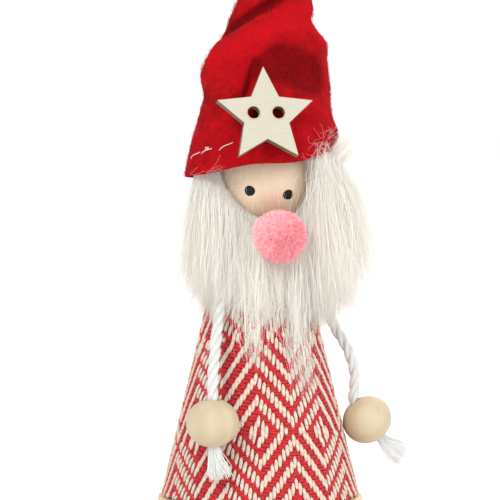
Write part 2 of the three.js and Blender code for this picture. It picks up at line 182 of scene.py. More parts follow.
class TomteHat(bpy.types.PropertyGroup):
    """The felt hat and its star."""

    felt: colour_prop("Felt", "Colour of the felt", (0.40, 0.0032, 0.0072))
    thickness: length_prop("Felt thickness", "Thickness of the felt", 0.0013, 0.0003)
    fuzz: number_prop("Fuzz fibres", "How many short fibres stand on the felt", 9500)
    star_radius: length_prop("Star radius", "From the star's middle to a point", 0.0145, 0.01)
    star_thickness: length_prop("Star thickness", "Thickness of the plywood", 0.0025, 0.0005)


class TomteFur(bpy.types.PropertyGroup):
    """The beard and hair, and the pompom."""

    pile: colour_prop("Fur", "Colour of the pile", (0.895, 0.87, 0.805))
    thickness: length_prop("Hair thickness", "Radius of a hair at its root", 0.000056, 0.00002)
    pompom: colour_prop("Pompom", "Colour of the pompom", (1.0, 0.36, 0.41))
    pompom_fibres: number_prop("Pompom fibres", "How many fibres stand on the pompom", 10500)


class TomteArms(bpy.types.PropertyGroup):
    """The arm cord and the beads."""

    diameter: length_prop("Cord diameter", "Across the twisted cord", 0.0032, 0.0005)
    lay: length_prop("Lay", "Length of one full turn of a strand", 0.0125, 0.002)
    cotton: colour_prop("Cotton", "Colour of the cord", (0.64, 0.64, 0.62))
    bead_radius: length_prop("Bead radius", "Across the bead's bore", 0.0075, 0.004)
    bead_length: length_prop("Bead length", "Along the bead's bore", 0.0128, 0.004)


class TomteWood(bpy.types.PropertyGroup):
    """The bare wood of the head, hands, base and star, and its darker grain."""

    head: colour_prop("Head wood", "Colour of the head", (0.775, 0.615, 0.45))
    head_grain: colour_prop("Head grain", "Colour of the head's grain", (0.745, 0.58, 0.415))
    bead: colour_prop("Bead wood", "Colour of the hands", (0.575, 0.485, 0.325))
    bead_grain: colour_prop("Bead grain", "Colour of the hands' grain", (0.51, 0.41, 0.262))
    base: colour_prop("Base wood", "Colour of the base", (0.74, 0.56, 0.36))
    base_grain: colour_prop("Base grain", "Colour of the base's grain", (0.60, 0.42, 0.25))
    star: colour_prop("Star wood", "Colour of the star", (0.52, 0.49, 0.40))
    star_grain: colour_prop("Star grain", "Colour of the star's grain", (0.445, 0.40, 0.315))


GROUPS = {
    "tomte_body": TomteBody,
    "tomte_hat": TomteHat,
    "tomte_fur": TomteFur,
    "tomte_arms": TomteArms,
    "tomte_wood": TomteWood,
}


# Numbers and curves.


def unit(vectors):
    """The vectors, each made one long."""
    vectors = np.asarray(vectors, float)
    return vectors / np.maximum(np.linalg.norm(vectors, axis=-1, keepdims=True), 1e-12)


def smoothstep(low, high, value):
    """0 at low, 1 at high, and smooth between them."""
    share = np.clip((np.asarray(value, float) - low) / (high - low), 0, 1)
    return share * share * (3 - 2 * share)


def waves(points, size, seed):
    """A smooth uneven field over space, from about -1 to 1, whose bumps are about size millimetres across."""
    draw = np.random.default_rng(seed)
    count = 10
    directions = unit(draw.normal(size=(count, 3))) * draw.uniform(0.7, 1.5, (count, 1)) * math.pi / size
    phases = draw.uniform(0, 2 * math.pi, count)
    return np.sin(np.asarray(points) @ directions.T + phases).sum(-1) / math.sqrt(count)


def round_axis(azimuth, radius, height, centre=(0.0, 0.0)):
    """A point at an azimuth in radians, from the front (-Y) towards +X, round a vertical axis."""
    azimuth, radius, height = np.broadcast_arrays(azimuth, radius, height)
    x = centre[0] + radius * np.sin(azimuth)
    return np.stack([x, centre[1] - radius * np.cos(azimuth), height], -1)


def lengths_along(points):
    """How far along a line each of its points is."""
    return np.concatenate([[0], np.cumsum(np.linalg.norm(np.diff(points, axis=0), axis=1))])


def evenly(points, spacing):
    """A line's points, set out again at an even spacing."""
    lengths = lengths_along(points)
    count = max(2, int(round(lengths[-1] / spacing)) + 1)
    at = np.linspace(0, lengths[-1], count)
    return np.stack([np.interp(at, lengths, points[:, k]) for k in range(3)], -1)


def smooth_route(points, spacing):
    """A centripetal Catmull-Rom curve through the points, as points at an even spacing."""
    p = np.asarray(points, float)
    p = np.vstack([2 * p[0] - p[1], p, 2 * p[-1] - p[-2]])
    share = np.linspace(0, 1, 40, endpoint=False)[:, None]
    found = []
    for a, b, c, d in zip(p[:-3], p[1:-2], p[2:-1], p[3:]):
        before, here, after = (np.linalg.norm(v) ** 0.5 for v in (b - a, c - b, d - c))
        leave = ((b - a) / before - (c - a) / (before + here) + (c - b) / here) * here
        arrive = ((c - b) / here - (d - b) / (here + after) + (d - c) / after) * here
        square, cube = share**2, share**3
        found.append(
            (2 * cube - 3 * square + 1) * b
            + (cube - 2 * square + share) * leave
            + (3 * square - 2 * cube) * c
            + (cube - square) * arrive
        )
    return evenly(np.vstack([*found, p[-2:-1]]), spacing)


def frames_along(path):
    """Unit tangents and two unit normals along a path, with no sudden turn."""
    tangents = unit(np.gradient(path, axis=0))
    normal = np.cross(tangents[0], UP if abs(tangents[0][2]) < 0.9 else np.array([1.0, 0, 0]))
    normals = []
    for tangent in tangents:
        normal = unit(normal - (normal @ tangent) * tangent)
        normals.append(normal)
    normals = np.array(normals)
    return tangents, normals, np.cross(tangents, normals)


# Meshes.


def add_mesh(name, points, faces, finish, maps=None, welded=False):
    """An object from points in millimetres and arrays of faces, with UV maps given for each point."""
    points = np.asarray(points, float).reshape(-1, 3) * MM
    faces = [np.asarray(f, np.int32) for f in faces if len(f)]
    corners = np.concatenate([f.ravel() for f in faces])
    sizes = np.concatenate([np.full(len(f), f.shape[1], np.int32) for f in faces])
    mesh = bpy.data.meshes.new(name)
    mesh.vertices.add(len(points))
    mesh.vertices.foreach_set("co", points.ravel())
    mesh.loops.add(len(corners))
    mesh.loops.foreach_set("vertex_index", corners)
    mesh.polygons.add(len(sizes))
    mesh.polygons.foreach_set("loop_start", np.concatenate([[0], np.cumsum(sizes)[:-1]]).astype(np.int32))
    mesh.update(calc_edges=True)
    mesh.polygons.foreach_set("use_smooth", np.ones(len(sizes), bool))
    for map_name, places in (maps or {}).items():
        layer = mesh.uv_layers.new(name=map_name)
        layer.uv.foreach_set("vector", np.asarray(places, float).reshape(-1, 2)[corners].ravel())
    mesh.materials.append(finish)
    mesh.validate()
    piece = bpy.data.objects.new(name, mesh)
    bpy.context.scene.collection.objects.link(piece)
    if welded:
        weld(piece, 1e-6)
    return piece


def weld(piece, distance):
    """Merges the points of a piece that lie within a distance of each other, in its own units."""
    piece.modifiers.new("weld", "WELD").merge_threshold = distance
    evaluated = piece.evaluated_get(bpy.context.evaluated_depsgraph_get())
    mesh = bpy.data.meshes.new_from_object(evaluated)
    old = piece.data
    piece.modifiers.clear()
    piece.data = mesh
    bpy.data.meshes.remove(old)


def grid_faces(rows, columns, wrap=False):
    """Faces of a grid of points, row by row, seen with the rows going up and the columns going right."""
    index = np.arange(rows * columns).reshape(rows, columns)
    if wrap:
        index = np.hstack([index, index[:, :1]])
    a, b = index[:-1, :-1], index[:-1, 1:]
    c, d = index[1:, 1:], index[1:, :-1]
    return np.stack([a, b, c, d], -1).reshape(-1, 4)


def shell_faces(rows, columns):
    """Faces of a thin closed sheet: a grid of outer points, then the same grid of inner points."""
    index = np.arange(rows * columns).reshape(rows, columns)
    rim = np.concatenate([index[0, :-1], index[:-1, -1], index[-1, :0:-1], index[:0:-1, 0]])
    rim_back = rim + rows * columns
    edge = np.stack([rim_back, np.roll(rim_back, -1), np.roll(rim, -1), rim], -1)
    outer = grid_faces(rows, columns)
    return [outer, outer[:, ::-1] + rows * columns, edge]


def tube_faces(count, rings, sides, flip=False):
    """Faces of closed tubes, from points that are (tubes, rings, sides). flip is for rings that run the
    other way round."""
    index = np.arange(count * rings * sides).reshape(count, rings, sides)
    after = np.roll(index, -1, axis=2)
    quads = np.stack([index[:, :-1], after[:, :-1], after[:, 1:], index[:, 1:]], -1).reshape(-1, 4)
    caps = [index[:, 0, ::-1], index[:, -1]]
    if flip:
        return [quads[:, [0, 3, 2, 1]], *(cap[:, ::-1] for cap in caps)]
    return [quads, *caps]


def turned(name, profile, finish, segments=96, place=(0, 0, 0), turn=None):
    """A closed solid turned about its own Z axis. The profile is (radius, height) points that start and end
    on the axis, or that go round a ring's section."""
    profile = np.asarray(profile, float)
    azimuth = np.arange(segments) * 2 * math.pi / segments
    points = round_axis(azimuth[None, :], profile[:, :1], profile[:, 1:])
    if profile[0, 0] > 0:
        points = np.concatenate([points, points[:1]])
    rows = len(points)
    faces = grid_faces(rows, segments, wrap=True)
    along = lengths_along(points[:, 0])
    u = np.broadcast_to(np.abs(np.linspace(-1, 1, segments, endpoint=False)), (rows, segments))
    v = np.broadcast_to((along / along[-1])[:, None], (rows, segments))
    points = points.reshape(-1, 3)
    if turn is not None:
        points = points @ np.array(turn).T
    points = points + np.asarray(place)
    return add_mesh(name, points, [faces], finish, {"Turned": np.stack([u, v], -1)}, welded=True)


def rounded(corners, radius, steps=5):
    """An outline's (radius, height) corners with each inner one rounded off."""
    corners = [np.array(c, float) for c in corners]
    found = [corners[0]]
    for before, corner, after in zip(corners[:-2], corners[1:-1], corners[2:]):
        start = corner + unit(before - corner) * radius
        end = corner + unit(after - corner) * radius
        for share in np.linspace(0, 1, steps):
            found.append((1 - share) ** 2 * start + 2 * share * (1 - share) * corner + share**2 * end)
    found.append(corners[-1])
    return np.array(found)


def cell_map(count, across, along):
    """UV places that give each of many small shapes a cell of its own. across and along are places within
    a shape, from 0 to 1."""
    cells = math.ceil(math.sqrt(count))
    index = np.arange(count)[:, None, None]
    across, along = np.broadcast_arrays(across, along)
    u = (index % cells + 0.08 + 0.84 * across) / cells
    v = (index // cells + 0.08 + 0.84 * along) / cells
    return np.stack([u, v], -1)


def strands(name, paths, radii, finish, sides=3, seed=0, tone=None):
    """Closed, tapering fibres. paths is (fibres, rings, 3) and radii is (fibres, rings), in millimetres.
    tone is how dark each one is, from 0 to 1, or nothing to draw it by lot."""
    paths, radii = np.asarray(paths, float), np.asarray(radii, float)
    count, rings, _ = paths.shape
    tangents = unit(np.gradient(paths, axis=1))
    guide = unit(np.cross(tangents.mean(1), np.array([0.31, 0.52, 0.8])))[:, None, :]
    normals = unit(guide - (guide * tangents).sum(-1, keepdims=True) * tangents)
    binormals = np.cross(tangents, normals)
    angles = np.arange(sides) * 2 * math.pi / sides
    spokes = normals[:, :, None] * np.cos(angles)[:, None] + binormals[:, :, None] * np.sin(angles)[:, None]
    points = paths[:, :, None] + radii[:, :, None, None] * spokes
    if tone is None:
        tone = np.random.default_rng(seed).uniform(0, 1, count)
    across = np.abs(np.linspace(-1, 1, sides, endpoint=False))[None, None, :]
    along = np.linspace(0, 1, rings)[None, :, None]
    maps = {
        "OFBake": cell_map(count, across, along),
        "Strand": np.stack(np.broadcast_arrays(tone[:, None, None], along, np.zeros((1, 1, sides)))[:2], -1),
    }
    return add_mesh(name, points, tube_faces(count, rings, sides), finish, maps)


# Finishes.


class Wire:
    """A shader value: arithmetic on it adds the Math nodes that work it out."""

    def __init__(self, finish, socket):
        self.finish = finish
        self.socket = socket

    def maths(self, operation, *values):
        return self.finish.node("ShaderNodeMath", {"operation": operation}, dict(enumerate(values)))

    def __add__(self, other):
        return self.maths("ADD", self, other)

    __radd__ = __add__

    def __sub__(self, other):
        return self.maths("SUBTRACT", self, other)

    def __rsub__(self, other):
        return self.maths("SUBTRACT", other, self)

    def __mul__(self, other):
        return self.maths("MULTIPLY", self, other)

    __rmul__ = __mul__

    def __pow__(self, other):
        return self.maths("POWER", self, other)

    def sine(self):
        return self.maths("SINE", self)

    def between(self, low, high):
        """0 at low and below, 1 at high and above, and smooth between them."""
        sockets = {"Value": self, "From Min": low, "From Max": high}
        return self.finish.node("ShaderNodeMapRange", {"interpolation_type": "SMOOTHSTEP"}, sockets)


class Finish:
    """A material in the making, with a method for each kind of node that it needs."""

    def __init__(self, name, roughness=0.9, **steady):
        self.material = bpy.data.materials.new(name)
        self.material.use_nodes = True
        self.tree = self.material.node_tree
        self.surface = self.tree.nodes["Principled BSDF"]
        self.surface.inputs["Roughness"].default_value = roughness
        for socket, value in steady.items():
            self.plug(self.surface.inputs[socket.replace("_", " ")], value)

    def plug(self, socket, value):
        """Puts a colour, a number or another node's output into a socket."""
        if isinstance(value, Wire):
            self.tree.links.new(value.socket, socket)
        elif socket.type == "RGBA":
            socket.default_value = (*value[:3], 1)
        else:
            socket.default_value = value

    def node(self, kind, settings=None, sockets=None, output=0):
        """A new node's output."""
        made = self.tree.nodes.new(kind)
        for name, value in (settings or {}).items():
            setattr(made, name, value)
        for name, value in (sockets or {}).items():
            self.plug(made.inputs[name], value)
        return Wire(self, made.outputs[output])

    def place(self, stretch=(1, 1, 1)):
        """The place on the object, in millimetres, stretched along each axis."""
        where = self.node("ShaderNodeTexCoord", output="Object")
        scale = tuple(s / MM for s in stretch)
        return self.node("ShaderNodeVectorMath", {"operation": "MULTIPLY"}, {0: where, 1: scale})

    def distance(self, centre):
        """How far the place is from a point, in millimetres."""
        sockets = {0: self.place(), 1: tuple(centre)}
        return self.node("ShaderNodeVectorMath", {"operation": "DISTANCE"}, sockets, output=1)

    def map(self, name):
        """The two coordinates of a UV map."""
        places = self.node("ShaderNodeUVMap", {"uv_map": name})
        return [self.node("ShaderNodeSeparateXYZ", sockets={0: places}, output=axis) for axis in (0, 1)]

    def noise(self, where, scale, detail=3, roughness=0.5):
        sockets = {"Vector": where, "Scale": scale, "Detail": detail, "Roughness": roughness}
        return self.node("ShaderNodeTexNoise", sockets=sockets)

    def mix(self, low, high, share):
        """A colour between two others."""
        return self.node("ShaderNodeMix", {"data_type": "RGBA"}, {0: share, 6: low, 7: high}, output=2)

    def colour(self, value):
        self.plug(self.surface.inputs["Base Color"], value)
        return self

    def roughness(self, value):
        self.plug(self.surface.inputs["Roughness"], value)
        return self

    def bump(self, height, distance, strength=1.0):
        sockets = {"Height": height, "Distance": distance * MM, "Strength": strength}
        self.plug(self.surface.inputs["Normal"], self.node("ShaderNodeBump", sockets=sockets))
        return self


def shade(colour, by):
    """A colour made lighter or darker."""
    return tuple(min(1.0, c * by) for c in colour)


def wood_finish(name, pale, dark, along, ring=2.6, grain=0.35, nose_shade=None):
    """Bare sanded wood, its fibres running along one axis. grain is how much the fibres show. The last
    argument, if given, is a centre, two radii and a colour of painted shade laid on the wood round that
    centre."""
    finish = Finish(name, roughness=0.62)
    stretch = [1.0, 1.0, 1.0]
    stretch[along] = 0.12
    where = finish.place(tuple(stretch))
    rings = finish.noise(where, 1 / ring, detail=2, roughness=0.4)
    fibres = finish.noise(where, 3.2, detail=4, roughness=0.65)
    share = rings.between(0.35, 0.7) * (1 - grain) + fibres.between(0.35, 0.75) * grain
    base = finish.mix(pale, dark, share)
    if nose_shade:
        centre, near, far, tint = nose_shade
        # Painted shade in the given colour, full within the near radius and gone beyond the far one.
        base = finish.mix(base, tint, (1 - finish.distance(centre).between(near, far)) * 0.85)
    finish.colour(base)
    finish.roughness(0.56 + fibres * 0.14)
    finish.bump(fibres, 0.1 * grain, 0.5)
    return finish.material


def felt_finish(name, colour, star_shade_centre):
    """Wool felt, mottled and softly hairy, with painted shade down in its folds, painted light on its high
    folds, and a painted shadow on the felt behind the star.
    """
    finish = Finish(name, roughness=0.95, Specular_IOR_Level=0.06)
    where = finish.place()
    patches = finish.noise(where, 0.22, detail=4, roughness=0.6)
    wool = finish.noise(where, 1.6, detail=5, roughness=0.75)
    base = finish.mix(shade(colour, 0.86), shade(colour, 1.16), patches.between(0.3, 0.68))
    # Painted shade and light: darker down in the creases and lighter on the high folds, from the Fold map.
    _, fold = finish.map("Fold")
    base = finish.mix(base, shade(colour, 0.36), (1 - fold.between(0.2, 0.5)) * 0.8)
    base = finish.mix(base, shade(colour, 1.35), fold.between(0.52, 0.8) * 0.6)
    base = finish.mix(base, shade(colour, 1.5), wool.between(0.5, 0.8) * 0.55)
    # Painted shadow: the felt behind the star is darkened round its middle, where it shows through the holes.
    finish.colour(finish.mix(base, shade(colour, 0.12), 1 - finish.distance(star_shade_centre).between(4.5, 7.5)))
    finish.bump(wool, 0.5, 0.8)
    return finish.material


def fibre_finish(name, colour, root, tip, spread=0.12, roughness=0.75, glow=0.0):
    """Fibres that differ a little from each other, and go from one tone at the root to another at the tip; a
    darker root is painted shade down among the fibres. glow is painted light, an even emission that stands in
    for the light that fine, pale fibres scatter among themselves."""
    # The emission is painted light on parts that are no lamp.
    finish = Finish(name, roughness, Emission_Color=colour, Emission_Strength=glow, Specular_IOR_Level=0.2)
    tone, along = finish.map("Strand")
    # A darker root is painted shade down among the fibres.
    base = finish.mix(shade(colour, root), shade(colour, tip), along.between(0.0, 0.8))
    finish.colour(finish.mix(base, shade(colour, 1 - spread * 1.6), tone.between(0.4, 1.0)))
    return finish.material


def yarn_finish(name, colour, tone_spread, twist):
    """A twisted yarn seen in short floats: slanting plies, with painted shade along the lines where they
    meet.
    """
    finish = Finish(name, roughness=0.88, Sheen_Weight=0.15, Specular_IOR_Level=0.2)
    around, along = finish.map("Yarn")
    place = finish.place()
    plies = ((around * 2 + along * twist) * (2 * math.pi)).sine() * 0.5 + 0.5
    hairs = finish.noise(place, 5.5, detail=4, roughness=0.7)
    patches = finish.noise(place, 0.5, detail=2)
    low, high = shade(colour, 1 - tone_spread), shade(colour, 1 + tone_spread * 0.6)
    # Painted shade: the yarn is darker along narrow lines where the plies meet.
    base = finish.mix(low, high, plies.between(0.0, 0.7) * 0.55 + hairs * 0.45)
    finish.colour(finish.mix(base, shade(colour, 0.8), patches.between(0.55, 0.8) * 0.5))
    finish.bump(plies * 0.7 + hairs * 0.3, 0.18, 0.8)
    return finish.material


# The stage: a pale floor, soft light, and the camera.

CAMERA_PLACE = (-3.0, -500.0, 78.15)
# Each lamp's name, place in metres, size in metres and power in watts.
LAMPS = [
    ("key", (-0.45, -0.8, 0.75), 0.5, 6.6),
    ("fill", (0.75, -0.6, 0.45), 0.7, 4.2),
    ("back", (0.3, 0.8, 0.7), 0.6, 4.0),
]
LAMP_AIM = Vector((0, 0, 0.09))


def make_stage(scene):
    """The floor, the lights and the camera."""
    camera_data = bpy.data.cameras.new("view")
    camera_data.lens = 120
    camera_data.sensor_width = 36
    camera_data.clip_start = 0.01
    camera = bpy.data.objects.new("view", camera_data)
    camera.location = Vector(CAMERA_PLACE) * MM
    camera.rotation_euler = (math.pi / 2, 0, 0)
    scene.collection.objects.link(camera)
    scene.camera = camera
    scene.view_settings.view_transform = "Standard"

    world = bpy.data.worlds.new("studio")
    scene.world = world
    world.use_nodes = True
    background = world.node_tree.nodes["Background"]
    background.inputs["Color"].default_value = (1, 1, 1, 1)
    background.inputs["Strength"].default_value = 0.72

    for name, place, size, power in LAMPS:
        data = bpy.data.lights.new(name, "AREA")
        data.shape = "SQUARE"
        data.size = size
        data.energy = power
        lamp = bpy.data.objects.new(name, data)
        lamp.location = place
        lamp.rotation_euler = (LAMP_AIM - Vector(place)).to_track_quat("-Z", "Y").to_euler()
        scene.collection.objects.link(lamp)

    finish = Finish("floor_paper", roughness=0.9)
    grain = finish.noise(finish.place(), 0.02, detail=2)
    finish.colour(finish.mix((0.97, 0.97, 0.97), (1.0, 1.0, 1.0), grain))
    # A sheet of paper that lies flat and curves up far behind the object.
    bend = [(-1500.0, 0.0), (900.0, 0.0)]
    bend += [(900 + 400 * math.sin(a), 400 - 400 * math.cos(a)) for a in np.linspace(0.2, math.pi / 2, 8)]
    bend.append((1300.0, 2200.0))
    points = [(x, y, z) for y, z in bend for x in (-2500, 2500)]
    floor = add_mesh("floor", points, [grid_faces(len(bend), 2)], finish.material)


# The arms.

CORD_SPACING = 0.35  # between the points of the cord's route
CLEAN_END = 12  # the length above the hand without stray fibres
# Each frayed end's direction, length and spread.
FRAY = {
    "left": (np.array([0.14, -0.06, -1.0]), 11.0, 3.0),
    "right": (np.array([0.74, 0.0, -0.67]), 11.5, 4.4),
}


def rope(name, path, settings, finish):
    """Three plump strands laid round a path."""
    radius = mm(settings.diameter) / 2
    ply, offset = radius * 0.53, radius * 0.5
    _, normals, binormals = frames_along(path)
    spacing = np.linalg.norm(path[1] - path[0])
    turn = np.arange(len(path)) * spacing / mm(settings.lay) * 2 * math.pi
    paths, radii = [], []
    for k in range(3):
        angle = (turn + k * 2 * math.pi / 3)[:, None]
        paths.append(path + offset * (np.cos(angle) * normals + np.sin(angle) * binormals))
        swell = 1 + 0.05 * waves(paths[-1], 2.2, 40 + k)
        radii.append(ply * swell)
    paths, radii = np.array(paths), np.array(radii)
    for share, ring in ((0.55, 0), (0.85, 1), (0.55, -1), (0.85, -2)):
        radii[:, ring] *= share
    return strands(name, paths, radii, finish, sides=14)


def stray_fibres(name, path, reach, count, length, finish, seed):
    """Fine loose fibres that stand off a cord."""
    draw = np.random.default_rng(seed)
    tangents, normals, binormals = frames_along(path)
    at = draw.integers(2, len(path) - 2, count)
    angle = draw.uniform(0, 2 * math.pi, (count, 1))
    out = np.cos(angle) * normals[at] + np.sin(angle) * binormals[at]
    lean = unit(out * draw.uniform(0.25, 1, (count, 1)) + tangents[at] * draw.normal(0, 1.1, (count, 1)))
    side = unit(np.cross(out, tangents[at])) * draw.normal(0, 0.6, (count, 1))
    share = np.linspace(0, 1, 5)[None, :, None]
    size = draw.uniform(0.4, 1, (count, 1, 1)) * length
    paths = (path[at] + out * reach)[:, None] + size * (lean[:, None] * share + side[:, None] * share**2)
    radii = np.broadcast_to(0.03 * np.array([1, 1, 0.9, 0.7, 0.35]), (count, 5))
    return strands(name, paths, radii, finish, seed=seed)


def nearest(path, place):
    """The index of the path's point that is nearest to a place."""
    return int(np.argmin(np.linalg.norm(path - place, axis=1)))


def make_arm_cords(scene):
    """The cord through the cone, its two arms and their frayed ends."""
    settings = scene.tomte_arms
    cotton = fibre_finish("cotton_cord", settings.cotton, 0.97, 1.0, spread=0.05, roughness=0.9, glow=0.05)
    # The loose yarns are paler and glow more than the cord: painted light lifting the shade among them.
    pale = shade(settings.cotton, 1.12)
    loose = fibre_finish("loose_cotton", pale, 0.97, 1.0, spread=0.04, roughness=0.9, glow=0.17)
    whole = smooth_route(np.array(ARM_ROUTE) / MM, CORD_SPACING)
    left, right = nearest(whole, LEFT_SHOULDER), nearest(whole, RIGHT_SHOULDER)
    inside = rope("arm_cord_under_head", whole[left : right + 1], settings, cotton)
    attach(inside, "figure")
    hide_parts("arm_cord_crossing")
    fuzz_reach = mm(settings.diameter) / 2 * 0.9
    for side, path, seed in (("left", whole[: left + 1][::-1], 3), ("right", whole[right:], 4)):
        cord = rope(f"{side}_arm", path, settings, cotton)
        woolly = path[: -int(CLEAN_END / CORD_SPACING)]
        fuzz = stray_fibres(f"{side}_arm_fuzz", woolly, fuzz_reach, 420, 1.6, cotton, seed)
        for piece in (cord, fuzz):
            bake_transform(piece)
        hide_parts(f"{side}_shoulder_cord", f"{side}_arm_cord")
        tassel = make_tassel(side, path, loose, settings)


def make_tassel(side, path, cotton, settings):
    """The cord's end below the bead, untwisted into loose yarns."""
    seed = {"left": 21, "right": 22}[side]
    draw = np.random.default_rng(seed)
    direction, length, spread = FRAY[side]
    direction = unit(direction)
    leave = unit(path[-1] - path[-4])
    across = unit(np.cross(direction, UP + 0.3))
    other = np.cross(direction, across)
    count, rings, tufts = 300, 9, 8
    tuft = draw.integers(0, tufts, count)
    angle = (tuft + draw.normal(0, 0.35, count)) * 2 * math.pi / tufts
    out = draw.uniform(0.3, 1, tufts)[tuft] * draw.uniform(0.6, 1.15, count)
    flare = (np.cos(angle)[:, None] * across + np.sin(angle)[:, None] * other) * out[:, None]
    share = np.linspace(0, 1, rings)[None, :, None]
    size = (draw.uniform(0.72, 1.04, count) * length)[:, None, None]
    start = path[-1] - leave * 1.5 + flare * mm(settings.diameter) * 0.36
    line = leave * (1 - share) + direction * share
    wobble = np.sin(share * draw.uniform(4, 9, (count, 1, 1)) + draw.uniform(0, 6, (count, 1, 1)))
    sway = unit(draw.normal(size=(count, 3)))[:, None] * wobble * share * 0.45
    paths = start[:, None] + size * share * line + flare[:, None] * spread * share**1.25 + sway
    paths[..., 2] = np.maximum(paths[..., 2], 0.5)
    radii = draw.uniform(0.08, 0.16, (count, 1)) * np.array([1, 1, 1, 1, 0.95, 0.9, 0.85, 0.7, 0.4])
    tassel = strands(f"{side}_tassel", paths, radii, cotton, sides=5, seed=seed)
    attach(tassel, f"{side}_arm")
    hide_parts(f"{side}_cord_fray")
    return tassel


def make_hands(scene):
    """The two wooden beads, bored for the cord."""
    settings = scene.tomte_arms
    wood = scene.tomte_wood
    half = mm(settings.bead_length) / 2
    bore = mm(settings.diameter) / 2 + 0.7
    tall = half / math.sqrt(1 - ((bore + 0.45) / mm(settings.bead_radius)) ** 2)
    heights = np.linspace(-half, half, 41)
    outside = np.stack([mm(settings.bead_radius) * np.sqrt(1 - (heights / tall) ** 2), heights], -1)
    rim = [(bore + 0.2, half + 0.12), (bore, half - 0.1), (bore - 0.05, half - 0.6)]
    foot = [(r, -z) for r, z in rim[::-1]]
    profile = np.vstack([outside, rim, foot])
    for side, centre, end in (("left", LEFT_BEAD, (0, 0, -1)), ("right", RIGHT_BEAD, (0.591, 0, -0.8067))):
        finish = wood_finish(f"{side}_hand_wood", wood.bead, wood.bead_grain, 2, ring=3.0)
        turn = Vector((0, 0, -1)).rotation_difference(Vector(end)).to_matrix()
        bead = turned(f"{side}_hand", profile, finish, 96, centre, turn)
        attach(bead, f"{side}_hand")
        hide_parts(f"{side}_hand_bead")


# The base and the cone.


def make_base(scene):
    """The wooden disc under the cone."""
    settings = scene.tomte_wood
    low, high = node_box("base_disc")
    radius = (high[0] - low[0]) / 2
    height = high[2]
    profile = rounded([(0, 0), (radius, 0), (radius, height), (0, height)], 0.8)
    finish = wood_finish("base_wood", settings.base, settings.base_grain, 0, ring=3.5)
    base = turned("base", profile, finish, 160)
    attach(base, "figure")
    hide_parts("base_disc")


def make_card_cone():
    """The bare card inside the cloth: grey-brown, with flecks of fibre."""
    finish = Finish("grey_card", roughness=0.92)
    place = finish.place()
    flecks = finish.noise(place, 2.5, detail=4, roughness=0.7)
    finish.colour(finish.mix((0.42, 0.32, 0.21), (0.58, 0.47, 0.34), flecks.between(0.3, 0.7)))
    finish.bump(flecks, 0.05)
    frame["nodes"]["cone_core"].data.materials.clear()
    frame["nodes"]["cone_core"].data.materials.append(finish.material)


# The woven cloth. Its flat piece is a ring's sector: threads run straight on it, and it is wrapped round
# the cone. s and t are places on the flat piece, across and down from the cone's point.

CLOTH_MIDDLE = math.radians(15)  # the azimuth where the threads run straight down the cone
CLOTH_OVERLAP = math.radians(9)
CLOTH_THICKNESS = 0.9
FLOAT_HEIGHT = 0.42
PICK = 0.86  # spacing of the weft threads
LONGEST_PICK = 3  # how many warp threads a weft float runs over at most
SHORTEST_FLOAT = 0.9  # a shorter warp float stays under the weft
PATTERN_SHIFT = 0.15  # how much higher than the middle of its stripe a float lies
DIAMOND_AZIMUTH = math.radians(-1.25)
DIAMOND_LEVEL = 26.1  # the height of a diamond's middle, a third of the way up the body


def cone_radius(height):
    """The body's radius at a height."""
    return (APEX - height) * math.tan(HALF_ANGLE)


def on_cloth(s, t, stand_off=0.0):
    """The places on the cone of flat cloth coordinates, with the directions across, down and out of it."""
    s, t = np.broadcast_arrays(np.asarray(s, float), np.asarray(t, float))
    slant = np.hypot(s, t)
    turn = np.arctan2(s, t) / math.sin(HALF_ANGLE)
    azimuth = CLOTH_MIDDLE + turn
    lap = smoothstep(math.pi - CLOTH_OVERLAP * 1.6, math.pi - CLOTH_OVERLAP * 0.4, turn) * CLOTH_THICKNESS
    out = round_axis(azimuth, math.cos(HALF_ANGLE), math.sin(HALF_ANGLE))
    place = round_axis(azimuth, slant * math.sin(HALF_ANGLE), APEX - slant * math.cos(HALF_ANGLE))
    down = round_axis(azimuth, math.sin(HALF_ANGLE), -math.cos(HALF_ANGLE))
    across = np.cross(out, down)
    flat = np.arctan2(s, t)[..., None]
    warp = down * np.cos(flat) + across * np.sin(flat)
    weft = np.cross(down, out) * np.cos(flat) + down * np.sin(flat)
    return place + out * (stand_off + lap)[..., None], weft, warp, out


def is_light(column, t, settings, middle):
    """Where the warp shows, along a warp thread."""
    half = settings.diamond_columns
    fold = np.mod(column, 2 * half)
    aside = np.minimum(fold, 2 * half - fold) * mm(settings.step)
    rise = np.mod(t - middle, 2 * mm(settings.diamond_height))
    rise = np.minimum(rise, 2 * mm(settings.diamond_height) - rise)
    start = mm(settings.pitch) / 2 - mm(settings.float_length) / 2 - PATTERN_SHIFT
    into = np.mod(rise + aside - start, mm(settings.pitch))
    return into < mm(settings.float_length)


def runs(mask):
    """The first and last index of each run of True in a mask."""
    edges = np.diff(np.concatenate([[0], mask.astype(int), [0]]))
    return np.flatnonzero(edges == 1), np.flatnonzero(edges == -1) - 1


